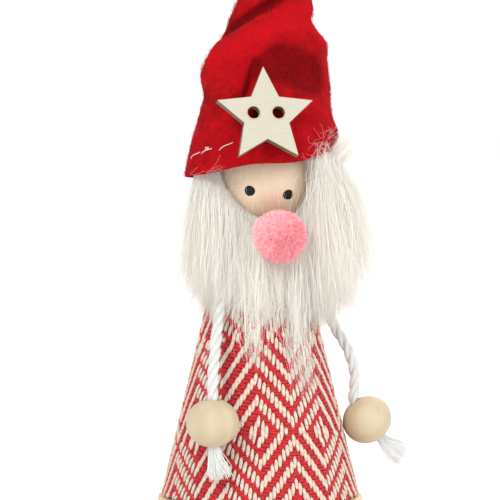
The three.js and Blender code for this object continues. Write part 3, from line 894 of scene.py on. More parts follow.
def floats(name, s, t, length, width, along_warp, finish, seed, sink=0.0, rings=7, sides=8):
    """Plump thread floats that dip into the cloth at both ends."""
    draw = np.random.default_rng(seed)
    count = len(s)
    jitter = draw.normal(0, 0.05, (count, 2))
    place, weft, warp, out = on_cloth(s + jitter[:, 0], t + jitter[:, 1], -sink)
    along = warp if along_warp else weft
    tilt = draw.normal(0, 0.05, (count, 1))
    across = unit(np.cross(out, along) + tilt * along)
    along = unit(np.cross(across, out))
    u = np.sin(np.linspace(-1, 1, rings) * math.pi / 2)
    plump = np.sqrt(np.maximum(1 - np.abs(u) ** 2.6, 0.03))
    high = FLOAT_HEIGHT * draw.uniform(0.85, 1.15, (count, 1, 1))
    wide = (np.asarray(width) * draw.uniform(0.94, 1.08, count))[:, None, None] / 2
    angle = np.arange(sides) * 2 * math.pi / sides
    centre = (np.asarray(length) / 2)[:, None, None, None] * u[None, :, None, None] * along[:, None, None]
    dip = -0.22 * (u**2)[None, :, None, None] * out[:, None, None]
    flank = (plump[None, :, None] * np.cos(angle) * wide)[..., None] * across[:, None, None]
    crown = (plump[None, :, None] * np.sin(angle) * high)[..., None] * out[:, None, None]
    points = place[:, None, None] + centre + dip + flank + crown
    around = np.broadcast_to(angle / (2 * math.pi), (count, rings, sides))
    run = (np.asarray(length) / 2)[:, None, None] * u[None, :, None] + draw.uniform(0, 5, (count, 1, 1))
    across = np.abs(np.linspace(-1, 1, sides, endpoint=False))[None, None]
    maps = {
        "OFBake": cell_map(count, across, (u[None, :, None] + 1) / 2),
        "Yarn": np.stack([around, np.broadcast_to(run, around.shape)], -1),
    }
    return add_mesh(name, points, tube_faces(count, rings, sides, flip=True), finish, maps)


def lay_floats(settings, slant_low, slant_high, half_turn):
    """The light and the dark floats between two slants: the place and length of each, row by row."""
    column_width = mm(settings.column)
    front = (DIAMOND_AZIMUTH - CLOTH_MIDDLE) * math.sin(HALF_ANGLE)
    front_slant = (APEX - DIAMOND_LEVEL) / math.cos(HALF_ANGLE)
    middle_s, middle_t = front_slant * math.sin(front), front_slant * math.cos(front)
    t = np.arange(slant_low * math.cos(half_turn), slant_high, 0.1)
    widest = int(slant_high * math.sin(half_turn) / column_width) + 2
    columns = np.arange(-widest, widest + 1) - round(middle_s / column_width)
    across = middle_s + columns * column_width
    light_floats, dark_floats = [], []

    def inside(s, t):
        slant, turn = np.hypot(s, t), np.abs(np.arctan2(s, t))
        return (slant > slant_low) & (slant < slant_high) & (turn < half_turn)

    for column, s in zip(columns, across):
        shows = is_light(column, t, settings, middle_t) & inside(s, t)
        for first, last in zip(*runs(shows)):
            length = t[last] - t[first]
            if length > SHORTEST_FLOAT:
                light_floats.append((s, (t[first] + t[last]) / 2, length + 0.55))
    for height in np.arange(t[0], slant_high, PICK):
        shows = ~is_light(columns, height, settings, middle_t) & inside(across, height)
        for first, last in zip(*runs(shows)):
            for start in range(first, last + 1, LONGEST_PICK):
                end = min(start + LONGEST_PICK - 1, last)
                middle = (across[start] + across[end]) / 2
                dark_floats.append((middle, height, (end - start + 1) * column_width + 0.25))
    return np.array(light_floats), np.array(dark_floats)


def make_body_cover(scene):
    """The cloth, and the threads that lie on top of it."""
    settings = scene.tomte_body
    light = yarn_finish("light_yarn", settings.light, 0.16, 0.55)
    dark = yarn_finish("dark_yarn", settings.dark, 0.35, 0.7)
    slant_low = (APEX - BODY_TOP) / math.cos(HALF_ANGLE) + 0.3
    slant_high = (APEX - BODY_BOTTOM) / math.cos(HALF_ANGLE) - 0.2
    half_turn = math.pi * math.sin(HALF_ANGLE)
    light_floats, dark_floats = lay_floats(settings, slant_low, slant_high, half_turn)

    rows, columns = 48, 240
    turn = np.linspace(-math.pi - CLOTH_OVERLAP, math.pi, columns) * math.sin(HALF_ANGLE)
    slant = np.linspace(slant_high, slant_low, rows)
    s, t = slant[:, None] * np.sin(turn), slant[:, None] * np.cos(turn)
    outer = on_cloth(s, t, np.full(s.shape, -0.3))[0]
    inner = on_cloth(s, t, np.full(s.shape, -0.3 - CLOTH_THICKNESS * 0.6))[0]
    ground = yarn_finish("ground_yarn", shade(settings.dark, 0.62), 0.3, 0.9)
    yarn = np.stack([s, t], -1)
    maps = {"Yarn": np.concatenate([yarn, yarn])}
    cloth = add_mesh("woven_cloth", np.concatenate([outer, inner]), shell_faces(rows, columns), ground, maps)
    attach(cloth, "figure")
    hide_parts("body_cover")

    width = np.full(len(light_floats), mm(settings.column) * 1.02)
    pieces = [floats("light_floats", *light_floats.T, width, True, light, 5)]
    for k, part in enumerate(np.array_split(dark_floats, 2)):
        width = np.full(len(part), PICK * 1.04)
        name = f"dark_floats_{k + 1}"
        pieces.append(floats(name, *part.T, width, False, dark, 6 + k, sink=0.12, rings=5, sides=6))
    for piece in pieces:
        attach(piece, "figure")
    area = half_turn * (slant_high**2 - slant_low**2)
    width = 2 * slant_high * math.sin(half_turn)
    height = slant_high - slant_low * math.cos(half_turn)
    width * MM
    height * MM
    area * MM * MM


# The head.

# Painted shade with a pink cast from the pompom, laid on the head's wood round it.
NOSE_SHADE_TINT = (0.66, 0.38, 0.27)  # the head's wood near the pompom
EYE_RADIUS = 1.62
EYE_SIDES = 36


def ball_profile(radius, points):
    """The (radius, height) points of a ball, from its foot to its top."""
    heights = np.linspace(-math.pi / 2, math.pi / 2, points)
    profile = np.stack([radius * np.cos(heights), radius * np.sin(heights)], -1)
    profile[0, 0] = profile[-1, 0] = 0
    return profile


def make_head(scene):
    """The wooden ball and its two painted eyes."""
    settings = scene.tomte_wood
    # Painted shade with a pink cast round the pompom.
    nose_shade = (NOSE, NOSE_RADIUS + 2, NOSE_RADIUS + 9, NOSE_SHADE_TINT)
    pale, dark = settings.head, settings.head_grain
    finish = wood_finish("head_wood", pale, dark, 2, ring=6.0, grain=0.12, nose_shade=nose_shade)
    head = turned("head", ball_profile(HEAD_RADIUS, 73), finish, 128, HEAD)
    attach(head, "figure")
    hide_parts("head_ball")

    paint = Finish("black_paint", roughness=0.3, Specular_IOR_Level=0.25)
    dabs = paint.noise(paint.place(), 1.2, detail=2)
    paint.colour(paint.mix((0.003, 0.003, 0.003), (0.009, 0.008, 0.008), dabs))
    for side, seed in (("left", 1), ("right", 2)):
        make_eye(side, paint.material, seed)


def make_eye(side, paint, seed):
    """A thick dot of paint that follows the ball, with a slightly uneven edge."""
    out = unit(node_centre(f"{side}_eye") - HEAD)
    across = unit(np.cross(UP, out))
    up = np.cross(out, across)
    rings = np.array([0.0, 0.35, 0.6, 0.8, 0.92, 1.0, 1.0])
    lift = np.array([0.3, 0.29, 0.26, 0.2, 0.12, 0.0, -0.3])
    angle = np.linspace(0, 2 * math.pi, EYE_SIDES, endpoint=False)
    uneven = 1 + 0.03 * np.sin(2 * angle + seed) + 0.02 * np.sin(3 * angle + 2 * seed)
    reach = EYE_RADIUS * rings[:, None] * uneven
    flat = (np.cos(angle) * reach)[..., None] * across + (np.sin(angle) * reach)[..., None] * up
    points = HEAD + unit(out * HEAD_RADIUS + flat) * (HEAD_RADIUS + lift)[:, None, None]
    index = np.arange(points.shape[0] * EYE_SIDES).reshape(-1, EYE_SIDES)
    faces = grid_faces(len(rings), EYE_SIDES, wrap=True)[:, ::-1]
    eye = add_mesh(f"{side}_eye_dot", points, [faces, index[-1:, ::-1]], paint, welded=True)
    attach(eye, "figure")
    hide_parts(f"{side}_eye")


def make_nose(scene):
    """A pompom: curly fibres standing on a woolly core."""
    settings = scene.tomte_fur
    colour = settings.pompom
    core_radius = NOSE_RADIUS - 1.5
    wool = Finish("pompom_core", roughness=1.0)
    tufts = wool.noise(wool.place(), 1.1, detail=4, roughness=0.7)
    wool.colour(wool.mix(shade(colour, 0.7), colour, tufts.between(0.35, 0.65)))
    wool.bump(tufts, 0.4)
    core = turned("pompom_core", ball_profile(core_radius, 41), wool.material, 64, NOSE)
    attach(core, "figure")
    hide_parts("nose_pompom")

    draw = np.random.default_rng(9)
    count = settings.pompom_fibres
    out = unit(draw.normal(size=(count, 3)))
    lean = unit(out + draw.normal(0, 0.5, (count, 3)))
    curl = unit(np.cross(lean, draw.normal(size=(count, 3))))
    share = np.linspace(0, 1, 5)[None, :, None]
    length = draw.uniform(1.4, 2.35, (count, 1, 1)) * (1 + 0.12 * waves(out * 8, 5, 11))[:, None, None]
    bend = np.sin(share * draw.uniform(2, 5, (count, 1, 1))) * 0.32
    start = NOSE + out * (core_radius - 0.25)
    paths = start[:, None] + lean[:, None] * share * length + curl[:, None] * bend
    radii = np.broadcast_to(0.055 * np.array([1, 1, 0.95, 0.8, 0.5]), (count, 5))
    deep_wool = fibre_finish("pompom_wool", colour, 0.66, 1.0, spread=0.16, glow=0.11)
    painted_light_wool = fibre_finish("pompom_wool_painted_light", (1.0, 0.62, 0.65), 0.95, 1.0, spread=0.05, glow=0.22)
    # Painted light: paler fibres with more glow gather on the upper left, towards the light, and deeper ones
    # on the shaded side.
    lit_side = out @ unit([-0.7, -0.45, 0.55])
    pale = draw.uniform(size=count) < 0.28 + 0.5 * smoothstep(-0.1, 1.0, lit_side)
    for name, chosen, finish in (("pompom_pile", ~pale, deep_wool), ("pompom_painted_light_pile", pale, painted_light_wool)):
        pile = strands(name, paths[chosen], radii[chosen], finish, seed=12)
        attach(pile, "figure")


# The hat.

# Height above the head's centre, sideways lean and radius, from the brim to the point.
HAT_SECTIONS = [
    (3.6, 0.0, 22.2),
    (8.5, 0.7, 21.7),
    (13.6, 1.3, 21.2),
    (19.3, 1.4, 20.2),
    (26.0, 1.8, 19.5),
    (31.0, 1.6, 19.0),
    (35.5, 2.1, 17.7),
    (40.6, 2.8, 15.9),
    (44.0, 2.7, 14.2),
    (47.0, 2.7, 12.6),
    (53.3, 4.2, 11.0),
    (64.0, 6.1, 8.2),
    (76.0, 8.6, 4.6),
    (84.0, 10.3, 2.0),
    (86.8, 10.9, 0.9),
]
# Soft folds in the felt, each a line of (azimuth in degrees, height) places with a lift out of the hat and
# a width. A negative lift is a crease or a hollow.
FOLDS = [
    ([(-86, 42.5), (-45, 45.5), (-10, 50), (25, 55)], -3.0, 2.3),
    ([(-58, 35), (-30, 38.5), (0, 43), (38, 47), (62, 48)], 1.7, 4.6),
    ([(14, 33), (48, 30)], -2.9, 6.0),
    ([(-3, 10), (3, 19)], 1.5, 5.5),
    ([(-22, 20), (-13, 31)], -1.9, 3.2),
    ([(70, 41), (95, 40), (140, 37)], 1.1, 3.0),
    ([(70, 47.5), (105, 46), (150, 48)], -1.0, 2.2),
    ([(48, 20), (84, 15)], 0.6, 4.0),
    ([(-110, 26), (-70, 24), (-50, 20)], -0.8, 3.0),
    ([(150, 42), (215, 38)], -1.5, 3.2),
    ([(120, 20), (190, 26)], -0.9, 3.6),
    ([(160, 58), (230, 62)], -1.0, 2.5),
]
BRIM_TILT = 0.161
BRIM, HAT_TOP = HAT_SECTIONS[0][0], HAT_SECTIONS[-1][0]


def hat_sections(height):
    """The hat's lean and radius at heights above the head's centre."""
    curve = smooth_route(HAT_SECTIONS, 0.25)
    heights, leans, radii = curve[np.argsort(curve[:, 0])].T
    return np.interp(height, heights, leans), np.interp(height, heights, radii)


def fold_lift(azimuth, height, radius):
    """How far the folds lift the felt, or with a minus sign sink it."""
    total = np.zeros(azimuth.shape)
    for line, lift, width in FOLDS:
        away = np.full(azimuth.shape, 1e3)
        for (from_turn, from_height), (to_turn, to_height) in zip(line[:-1], line[1:]):
            offset = np.mod(np.degrees(azimuth) - from_turn + 180, 360) - 180
            share = np.clip(offset / (to_turn - from_turn), 0, 1)
            aside = np.radians(offset - share * (to_turn - from_turn)) * radius
            above = height - (from_height + share * (to_height - from_height))
            away = np.minimum(away, np.hypot(aside, above))
        total = total + lift * np.exp(-((away / width) ** 2))
    return total


def fold_shade(azimuth, height):
    """The folds as a share: 0 at the bottom of a deep crease, a half on flat felt, and 1 on a high fold; the
    felt and its fuzz paint shade and light from it.
    """
    azimuth, height = np.broadcast_arrays(azimuth, height)
    return np.clip(0.5 + 0.2 * fold_lift(azimuth, height, hat_sections(height)[1]), 0, 1)


def hat_point(azimuth, height, stand_off=0.0):
    """A place on the hat's felt, at azimuths in radians and heights above the head's centre."""
    azimuth, height, stand_off = np.broadcast_arrays(azimuth, height, stand_off)
    lean, radius = hat_sections(height)
    flat = round_axis(azimuth, radius, height)
    dents = 0.4 * waves(flat, 12, 31) + 0.16 * waves(flat, 5, 32)
    star = np.exp(-((flat[..., 0] / 13) ** 2) - ((height - 17) / 12) ** 2) * (np.cos(azimuth) > 0)
    dents = dents * (1 - star) * smoothstep(86, 60, height) + fold_lift(azimuth, height, radius)
    front = np.mod(azimuth - math.radians(24) + math.pi, 2 * math.pi) - math.pi
    wavy = 0.3 * np.sin(azimuth * 3 + 0.8) + 0.2 * np.sin(azimuth * 5 + 2)
    wavy = wavy - 1.5 * np.exp(-((front / 0.5) ** 2))
    brim = smoothstep(16, 3.6, height)
    points = round_axis(azimuth, np.maximum(radius + dents, 0.3) + stand_off, height)
    points[..., 2] += BRIM_TILT * points[..., 0] * brim + wavy * brim
    points[..., 0] += lean
    points[..., 2] += HEAD[2]
    return points


def make_hat(scene):
    """The felt with its folds, the fuzz on it, and the wadding that it rests on."""
    settings = scene.tomte_hat
    finish = felt_finish("red_felt", settings.felt, node_centre("star_button"))
    columns = 200
    azimuth = np.linspace(0, 2 * math.pi, columns, endpoint=False)
    thick = mm(settings.thickness)
    inside = [(h, -thick) for h in np.linspace(46, BRIM + 0.9, 36)]
    turn = np.linspace(-math.pi / 2, math.pi / 2, 7)[1:-1]
    edge = [(BRIM + 0.6 - 0.6 * math.cos(a), -thick / 2 + thick / 2 * math.sin(a)) for a in turn]
    outside = [(h, 0.0) for h in (*np.linspace(BRIM + 0.7, 60, 110), *np.linspace(60.5, HAT_TOP, 48))]
    cap = [(HAT_TOP + 0.5, -0.35), (HAT_TOP + 0.8, -0.75)]
    levels = np.array([*inside, *edge, *outside, *cap])
    heights = np.minimum(levels[:, 0], HAT_TOP)
    points = hat_point(azimuth[None, :], heights[:, None], levels[:, 1:])
    points[..., 2] += np.maximum(levels[:, 0] - HAT_TOP, 0)[:, None]
    rows = len(levels)
    index = np.arange(rows * columns).reshape(rows, columns)
    faces = [grid_faces(rows, columns, wrap=True), index[:1, ::-1], index[-1:]]
    # The Fold map carries the share that paints shade in the creases and light on the high folds of the felt.
    shades = fold_shade(azimuth[None, :], heights[:, None])
    folds = np.stack([np.broadcast_to(heights[:, None] / HAT_TOP, shades.shape), shades], -1)
    hat = add_mesh("felt_hat", points, faces, finish, {"Fold": folds})
    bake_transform(hat)
    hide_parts("hat_felt", "hat_tip")

    fuzz = make_felt_fuzz(settings)
    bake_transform(fuzz)
    wadding = make_wadding()


def make_felt_fuzz(settings):
    """Short fibres that stand off the felt, with painted light on its high folds and painted shade in its
    creases.
    """
    draw = np.random.default_rng(14)
    count = settings.fuzz
    height = BRIM + (HAT_TOP - 3 - BRIM) * (1 - np.sqrt(draw.uniform(0, 1, count)))
    turn = draw.uniform(0, 2 * math.pi, count)
    root = hat_point(turn, height, -0.05)
    out = unit(root - hat_point(turn, height, -1.0))
    side = unit(np.cross(out, UP))
    swirl = 2.2 * waves(root, 6, 15) + draw.normal(0, 0.8, count)
    flow = side * np.cos(swirl)[:, None] + np.cross(out, side) * np.sin(swirl)[:, None]
    share = np.linspace(0, 1, 4)[None, :, None]
    length = draw.uniform(0.6, 2.0, (count, 1, 1))
    rise = draw.uniform(0.12, 0.5, (count, 1, 1))
    arch = share * (1.15 - share)
    curl = np.cross(out, flow) * draw.normal(0, 0.4, (count, 1))
    line = flow[:, None] * share + out[:, None] * rise * arch * 1.6 + curl[:, None] * share**2
    paths = root[:, None] + length * line
    radii = np.broadcast_to(0.042 * np.array([1, 1, 0.8, 0.4]), (count, 4))
    wool = fibre_finish("felt_wool", shade(settings.felt, 1.35), 0.85, 1.15, spread=0.45)
    # Painted shade and light: the fibres are darker in the creases and paler on the high folds.
    tone = np.clip(1.4 - 1.8 * fold_shade(turn, height) + draw.normal(0, 0.2, count), 0, 1)
    return strands("felt_fuzz", paths, radii, wool, seed=16, tone=tone)


def make_wadding():
    """A soft cushion between the head and the hat."""
    low, high = node_box("hat_wadding")
    centre = (low + high) / 2
    half = (high - low) / 2
    polar = np.linspace(-math.pi / 2, math.pi / 2, 33)
    turn = np.linspace(0, 2 * math.pi, 48, endpoint=False)
    shape = np.stack(
        np.broadcast_arrays(
            np.cos(polar)[:, None] ** 0.6 * np.cos(turn),
            np.cos(polar)[:, None] ** 0.6 * np.sin(turn),
            np.sin(polar)[:, None] + 0 * turn,
        ),
        -1,
    )
    width = np.interp(shape[..., 2], [-1, 1], [half[0] * 0.95, half[0] * 0.62])[..., None]
    points = centre + shape * np.concatenate([width, width, np.full_like(width, half[2] * 0.97)], -1)
    points = points - 0.35 * (1 + waves(points, 4, 51))[..., None] * shape
    finish = Finish("white_wadding", roughness=1.0)
    tufts = finish.noise(finish.place(), 0.9, detail=4, roughness=0.7)
    finish.colour(finish.mix((0.78, 0.76, 0.72), (0.92, 0.91, 0.88), tufts.between(0.35, 0.65)))
    finish.bump(tufts, 0.4)
    wadding = add_mesh("wadding", points, [grid_faces(33, 48, wrap=True)], finish.material, welded=True)
    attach(wadding, "figure")
    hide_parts("hat_wadding")
    return wadding


# The star.

STAR_NOTCH = 6.9
STAR_HOLE = 1.8
STAR_HOLES_APART = 7.3
STAR_HOLE_RISE = 0.9
STAR_BEVEL = 0.12
STAR_LEAN, STAR_YAW, STAR_TURN = (math.radians(angle) for angle in (12.5, 12, 1))


def star_finish(wood):
    """Birch plywood cut by a laser: a pale face, faintly scorched round its holes, and burnt brown sides."""
    finish = Finish("star_plywood", roughness=0.6)
    x, y = finish.map("Plate")
    _, depth = finish.map("Depth")
    place = finish.node("ShaderNodeCombineXYZ", sockets={0: x * 0.16, 1: y, 2: 0.0})
    grain = finish.noise(place, 2.2, detail=5, roughness=0.6)
    broad = finish.noise(place, 0.35, detail=2)
    face = finish.mix(wood.star, wood.star_grain, grain.between(0.4, 0.75) * 0.6 + broad * 0.3)
    scorch = 1.0
    for side in (-1, 1):
        aside, above = x - side * STAR_HOLES_APART / 2, y - STAR_HOLE_RISE
        away = (aside * aside + above * above) ** 0.5
        scorch = scorch * away.between(STAR_HOLE - 0.1, STAR_HOLE + 1.1)
    patchy = finish.noise(place, 0.6, detail=2).between(0.35, 0.65)
    face = finish.mix(face, (0.50, 0.33, 0.17), (1 - scorch) * (0.15 + 0.45 * patchy))
    plies = (depth * (2 * math.pi * 1.5)).sine().between(-0.4, 0.4)
    burnt = finish.mix((0.09, 0.07, 0.035), (0.20, 0.155, 0.085), plies * 0.7 + grain * 0.3)
    edge = depth.between(0.93, 0.99)
    finish.colour(finish.mix(burnt, face, edge))
    finish.bump(grain, 0.04, 0.6)
    return finish.material


def make_star(scene):
    """A flat five-pointed button with two holes, turned to lie on the hat."""
    settings = scene.tomte_hat
    outline = bpy.data.curves.new("star_outline", "CURVE")
    outline.dimensions = "2D"
    outline.fill_mode = "BOTH"
    star = []
    for i in range(10):
        radius = (mm(settings.star_radius) if i % 2 == 0 else STAR_NOTCH) - STAR_BEVEL
        angle = math.pi / 2 + i * math.pi / 5
        star.append((radius * math.cos(angle), radius * math.sin(angle)))
    loops = [star]
    for side in (-1, 1):
        angles = [k * 2 * math.pi / 40 for k in range(40)]
        radius = STAR_HOLE + STAR_BEVEL
        middle = side * STAR_HOLES_APART / 2
        loops.append([(middle + radius * math.cos(a), STAR_HOLE_RISE + radius * math.sin(a)) for a in angles])
    for loop in loops:
        spline = outline.splines.new("POLY")
        spline.points.add(len(loop) - 1)
        for point, (x, y) in zip(spline.points, loop):
            point.co = (x, y, 0, 1)
        spline.use_cyclic_u = True
    outline.extrude = mm(settings.star_thickness) / 2 - STAR_BEVEL
    outline.bevel_depth = STAR_BEVEL
    outline.bevel_resolution = 2
    drawn = bpy.data.objects.new("star_outline", outline)
    bpy.context.scene.collection.objects.link(drawn)
    mesh = bpy.data.meshes.new_from_object(drawn.evaluated_get(bpy.context.evaluated_depsgraph_get()))
    bpy.data.objects.remove(drawn)
    piece = bpy.data.objects.new("star", mesh)
    bpy.context.scene.collection.objects.link(piece)
    weld(piece, 1e-4)
    mesh = piece.data
    flat = np.array([v.co for v in mesh.vertices])
    corners = np.array([loop.vertex_index for loop in mesh.loops])
    mesh.uv_layers.new(name="Plate").uv.foreach_set("vector", flat[corners][:, :2].ravel())
    depth = flat[:, 2] / mm(settings.star_thickness) + 0.5
    depth = np.stack([np.zeros(len(depth)), depth], -1)
    mesh.uv_layers.new(name="Depth").uv.foreach_set("vector", depth[corners].ravel())
    mesh.materials.clear()
    mesh.materials.append(star_finish(scene.tomte_wood))
    mesh.polygons.foreach_set("use_smooth", np.zeros(len(mesh.polygons), bool))
    yaw = Matrix.Rotation(STAR_YAW, 4, "Z")
    lean = Matrix.Rotation(math.pi / 2 - STAR_LEAN, 4, "X")
    mesh.transform(Matrix.Scale(MM, 4) @ yaw @ lean @ Matrix.Rotation(STAR_TURN, 4, "Z"))
    points = np.array([v.co for v in mesh.vertices])
    middle = (points.min(0) + points.max(0)) / 2
    mesh.transform(Matrix.Translation(Vector(node_centre("star_button") * MM - middle)))
    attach(piece, "figure")
    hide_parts("star_button")


THREAD_RADIUS = 0.12
# Each stitch's azimuth in degrees and height where it starts, the same where it ends, and its number.
STITCHES = [(-71, 7.8, -57, 9.2, 1), (-55, 8.6, -43.5, 9.7, 2), (-36, 8.8, -24, 10.4, 3)]
# The azimuths and heights that each group of stray fibres runs between, its scatter, how many fibres, and
# how long they are.
STRAYS = [(44, 5.5, 70, 11, 2.4, 52, 6.0), (-68, 3.7, -24, 3.9, 0.3, 9, 6.0)]


def make_hat_thread():
    """Loose white thread: running stitches with a knot on the left, and stray fibres along the brim."""
    cotton = fibre_finish("sewing_thread", (0.82, 0.70, 0.68), 1.0, 1.0, spread=0.05)
    for from_turn, from_height, to_turn, to_height, order in STITCHES:
        share = np.linspace(0, 1, 14)
        height = from_height + share * (to_height - from_height) + 0.15 * np.sin(share * 5)
        arch = 0.42 * np.sin(share * math.pi) ** 0.6 - 0.1
        path = hat_point(np.radians(from_turn + share * (to_turn - from_turn)), height, arch)
        radii = np.full(len(share), THREAD_RADIUS)
        stitch = strands(f"thread_stitch_{order}", path[None], radii[None], cotton, sides=8)
        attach(stitch, "figure")
        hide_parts(f"hat_stitch_{order}")
    share = np.linspace(0, 1, 60)
    centre = hat_point(np.radians(-47.5), 9.6, 0.45)
    swing = np.stack([np.sin(share * 19), np.cos(share * 23 + 1), np.sin(share * 29 + 2)], -1)
    path = centre + swing * np.array([0.45, 0.3, 0.4])
    knot = strands("thread_knot", path[None], np.full((1, 60), THREAD_RADIUS), cotton, sides=7)
    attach(knot, "figure")
    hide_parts("hat_thread_knot")

    draw = np.random.default_rng(61)
    paths = []
    for from_turn, from_height, to_turn, to_height, scatter, count, reach in STRAYS:
        share = draw.uniform(0, 1, count)
        turn = np.radians(from_turn + share * (to_turn - from_turn) + draw.normal(0, 3, count))
        height = from_height + share * (to_height - from_height) + draw.normal(0, scatter, count)
        heading = draw.uniform(-1, 1, count) * scatter * 1.4
        bend = draw.normal(0, 0.4 + 0.7 * scatter, count)
        for k in range(count):
            s = np.linspace(0, 1, 12) * draw.uniform(0.5, 1)
            head = heading[k] + bend[k] * s
            dx = np.cumsum(np.cos(head)) * reach / 12
            dz = np.cumsum(np.sin(head)) * reach / 12
            level = np.maximum(height[k] + dz, BRIM + 0.3)
            paths.append(hat_point(turn[k] + dx / 21, level, 0.25 + 0.5 * np.sin(s * 3)))
    paths = np.array(paths)
    radii = np.broadcast_to(0.021 * np.array([0.6, *[1] * 9, 0.8, 0.5]), paths.shape[:2])
    strays = strands("stray_white_fibres", paths, radii, cotton, seed=62)
    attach(strays, "figure")


# The fur.

HAIR_RINGS = 7
CORD_ROOM = 2.6  # how far off the cord's middle the hairs lie where they cross it


def push_clear(points, room, cord):
    """Moves hairs' points out of the body, the head and the pompom, and over the arm cord."""
    height = points[:, 2]
    radial = np.hypot(points[:, 0], points[:, 1])
    clear = cone_radius(np.minimum(height, BODY_TOP + 6)) + room
    factor = np.where((height < BODY_TOP + 2) & (radial < clear), clear / np.maximum(radial, 1e-6), 1.0)
    points = points * np.stack([factor, factor, np.ones(len(points))], -1)
    for centre, radius in ((HEAD, HEAD_RADIUS + 0.3), (NOSE, NOSE_RADIUS - 0.3)):
        offset = points - centre
        away = np.linalg.norm(offset, axis=-1, keepdims=True)
        points = np.where(away < radius, centre + offset / np.maximum(away, 1e-6) * radius, points)
    near = cord[np.argmin(((points[:, None] - cord[None]) ** 2).sum(-1), 1)]
    outward = unit(near * np.array([1.0, 1.0, 0.0]))
    offset = points - near
    depth = (offset * outward).sum(-1)
    aside = np.linalg.norm(offset - depth[:, None] * outward, axis=-1)
    cover = CORD_ROOM - aside
    lift = np.where((cover > 0) & (depth < cover), cover - depth, 0.0)
    return points + lift[:, None] * outward


def grow(lock, draw, cord):
    """Hairs that leave their roots in one direction, then turn down or, for a light tuft, up."""
    count = lock.hairs
    along = draw.uniform(0, 1, count)
    aside = draw.uniform(0, 1, count) ** 1.2
    places = np.linspace(0, 1, len(lock.line))
    turns, levels = np.array(lock.line).T
    turn = np.radians(np.interp(along, places, turns) + aside * lock.spread[0])
    rise = np.interp(along, places, levels) + aside * lock.spread[1]
    height = HEAD[2] + rise
    ball = np.sqrt(np.maximum(HEAD_RADIUS**2 - rise**2, 25))
    reach = np.maximum(ball, np.where(height < BODY_TOP, cone_radius(height), 0)) + 0.6
    roots = round_axis(turn, reach, height, HEAD[:2])
    longest = np.interp(along, np.linspace(0, 1, len(lock.length)), lock.length) + aside * lock.spread[1]
    length = longest * draw.uniform(lock.shortest, 1, count) ** lock.ragged
    out = round_axis(turn, 1.0, 0.0)
    away = round_axis(turn + math.pi / 2, 1.0, 0.0) * np.sign(turn)[:, None]
    leave = lock.leave[0] * out + lock.leave[1] * away + lock.leave[2] * UP
    leave = unit(leave + draw.normal(0, 0.22, (count, 3)))
    fallen = unit(-UP * lock.droop + out * lock.stand + draw.normal(0, 0.1, (count, 3)))
    bend = unit(draw.normal(size=(count, 3))) * draw.exponential(lock.frizz, (count, 1))
    phase = draw.uniform(0, 2 * math.pi, (count, 1))
    waviness = draw.uniform(3.0, 9.0, (count, 1))
    room = draw.uniform(0.4, 2.4, count)
    step = (length / (HAIR_RINGS - 1))[:, None]
    path = [push_clear(roots, 0.4, cord)]
    for k in range(1, HAIR_RINGS):
        share = (k - 0.5) / (HAIR_RINGS - 1)
        down = smoothstep(0, lock.fall, share)
        heading = leave * (1 - down) + fallen * down + bend * np.sin(phase + waviness * share) * (0.4 + share)
        path.append(push_clear(path[-1] + unit(heading) * step, room * min(1, 0.4 + share), cord))
    return np.stack(path, 1)


def clump(paths, draw, guides, pull):
    """Draws each hair's tip towards the nearest of a few guide hairs, as real pile gathers into locks."""
    chosen = draw.choice(len(paths), guides, replace=False)
    middle = paths[:, paths.shape[1] // 3]
    lead = middle[chosen]
    nearest_lead = np.empty(len(paths), int)
    for start in range(0, len(paths), 2000):
        part = middle[start : start + 2000]
        nearest_lead[start : start + 2000] = np.argmin(((part[:, None] - lead[None]) ** 2).sum(-1), 1)
    guide = paths[chosen[nearest_lead]]
    share = np.linspace(0, 1, paths.shape[1])[None, :, None] ** 1.4
    amount = (pull * draw.uniform(0.5, 1, (len(paths), 1, 1))) * share
    return paths + (guide - paths) * amount


def hair_radii(count, thickness, draw):
    """Each hair's radius at each of its rings."""
    taper = np.interp(np.linspace(0, 1, HAIR_RINGS), [0, 0.5, 0.85, 1], [1, 0.95, 0.6, 0.25])
    return thickness * draw.uniform(0.7, 1.15, (count, 1)) * taper


@dataclass
class Lock:
    """A patch of fur. Places are (azimuth in degrees, height above the head's centre)."""

    name: str
    node: str  # the CAD solid that the lock stands for, if it is the main lock of that solid
    hairs: int
    line: list  # where the patch of roots starts
    spread: tuple  # how far the roots spread from that line
    length: list  # the longest hairs along the line
    leave: tuple  # the hairs' first direction: outwards, away from the face, upwards
    fall: float  # the share of the hair that it takes to turn
    seed: int
    droop: float = 1.0  # how strongly it turns down; negative for up
    stand: float = 0.1  # how much it still stands off when it hangs
    shortest: float = 0.5
    pull: float = 0.5  # how much the tips gather into tufts
    ragged: float = 0.8  # above 1, more of the hairs are short
    frizz: float = 0.3  # how much the hairs wave


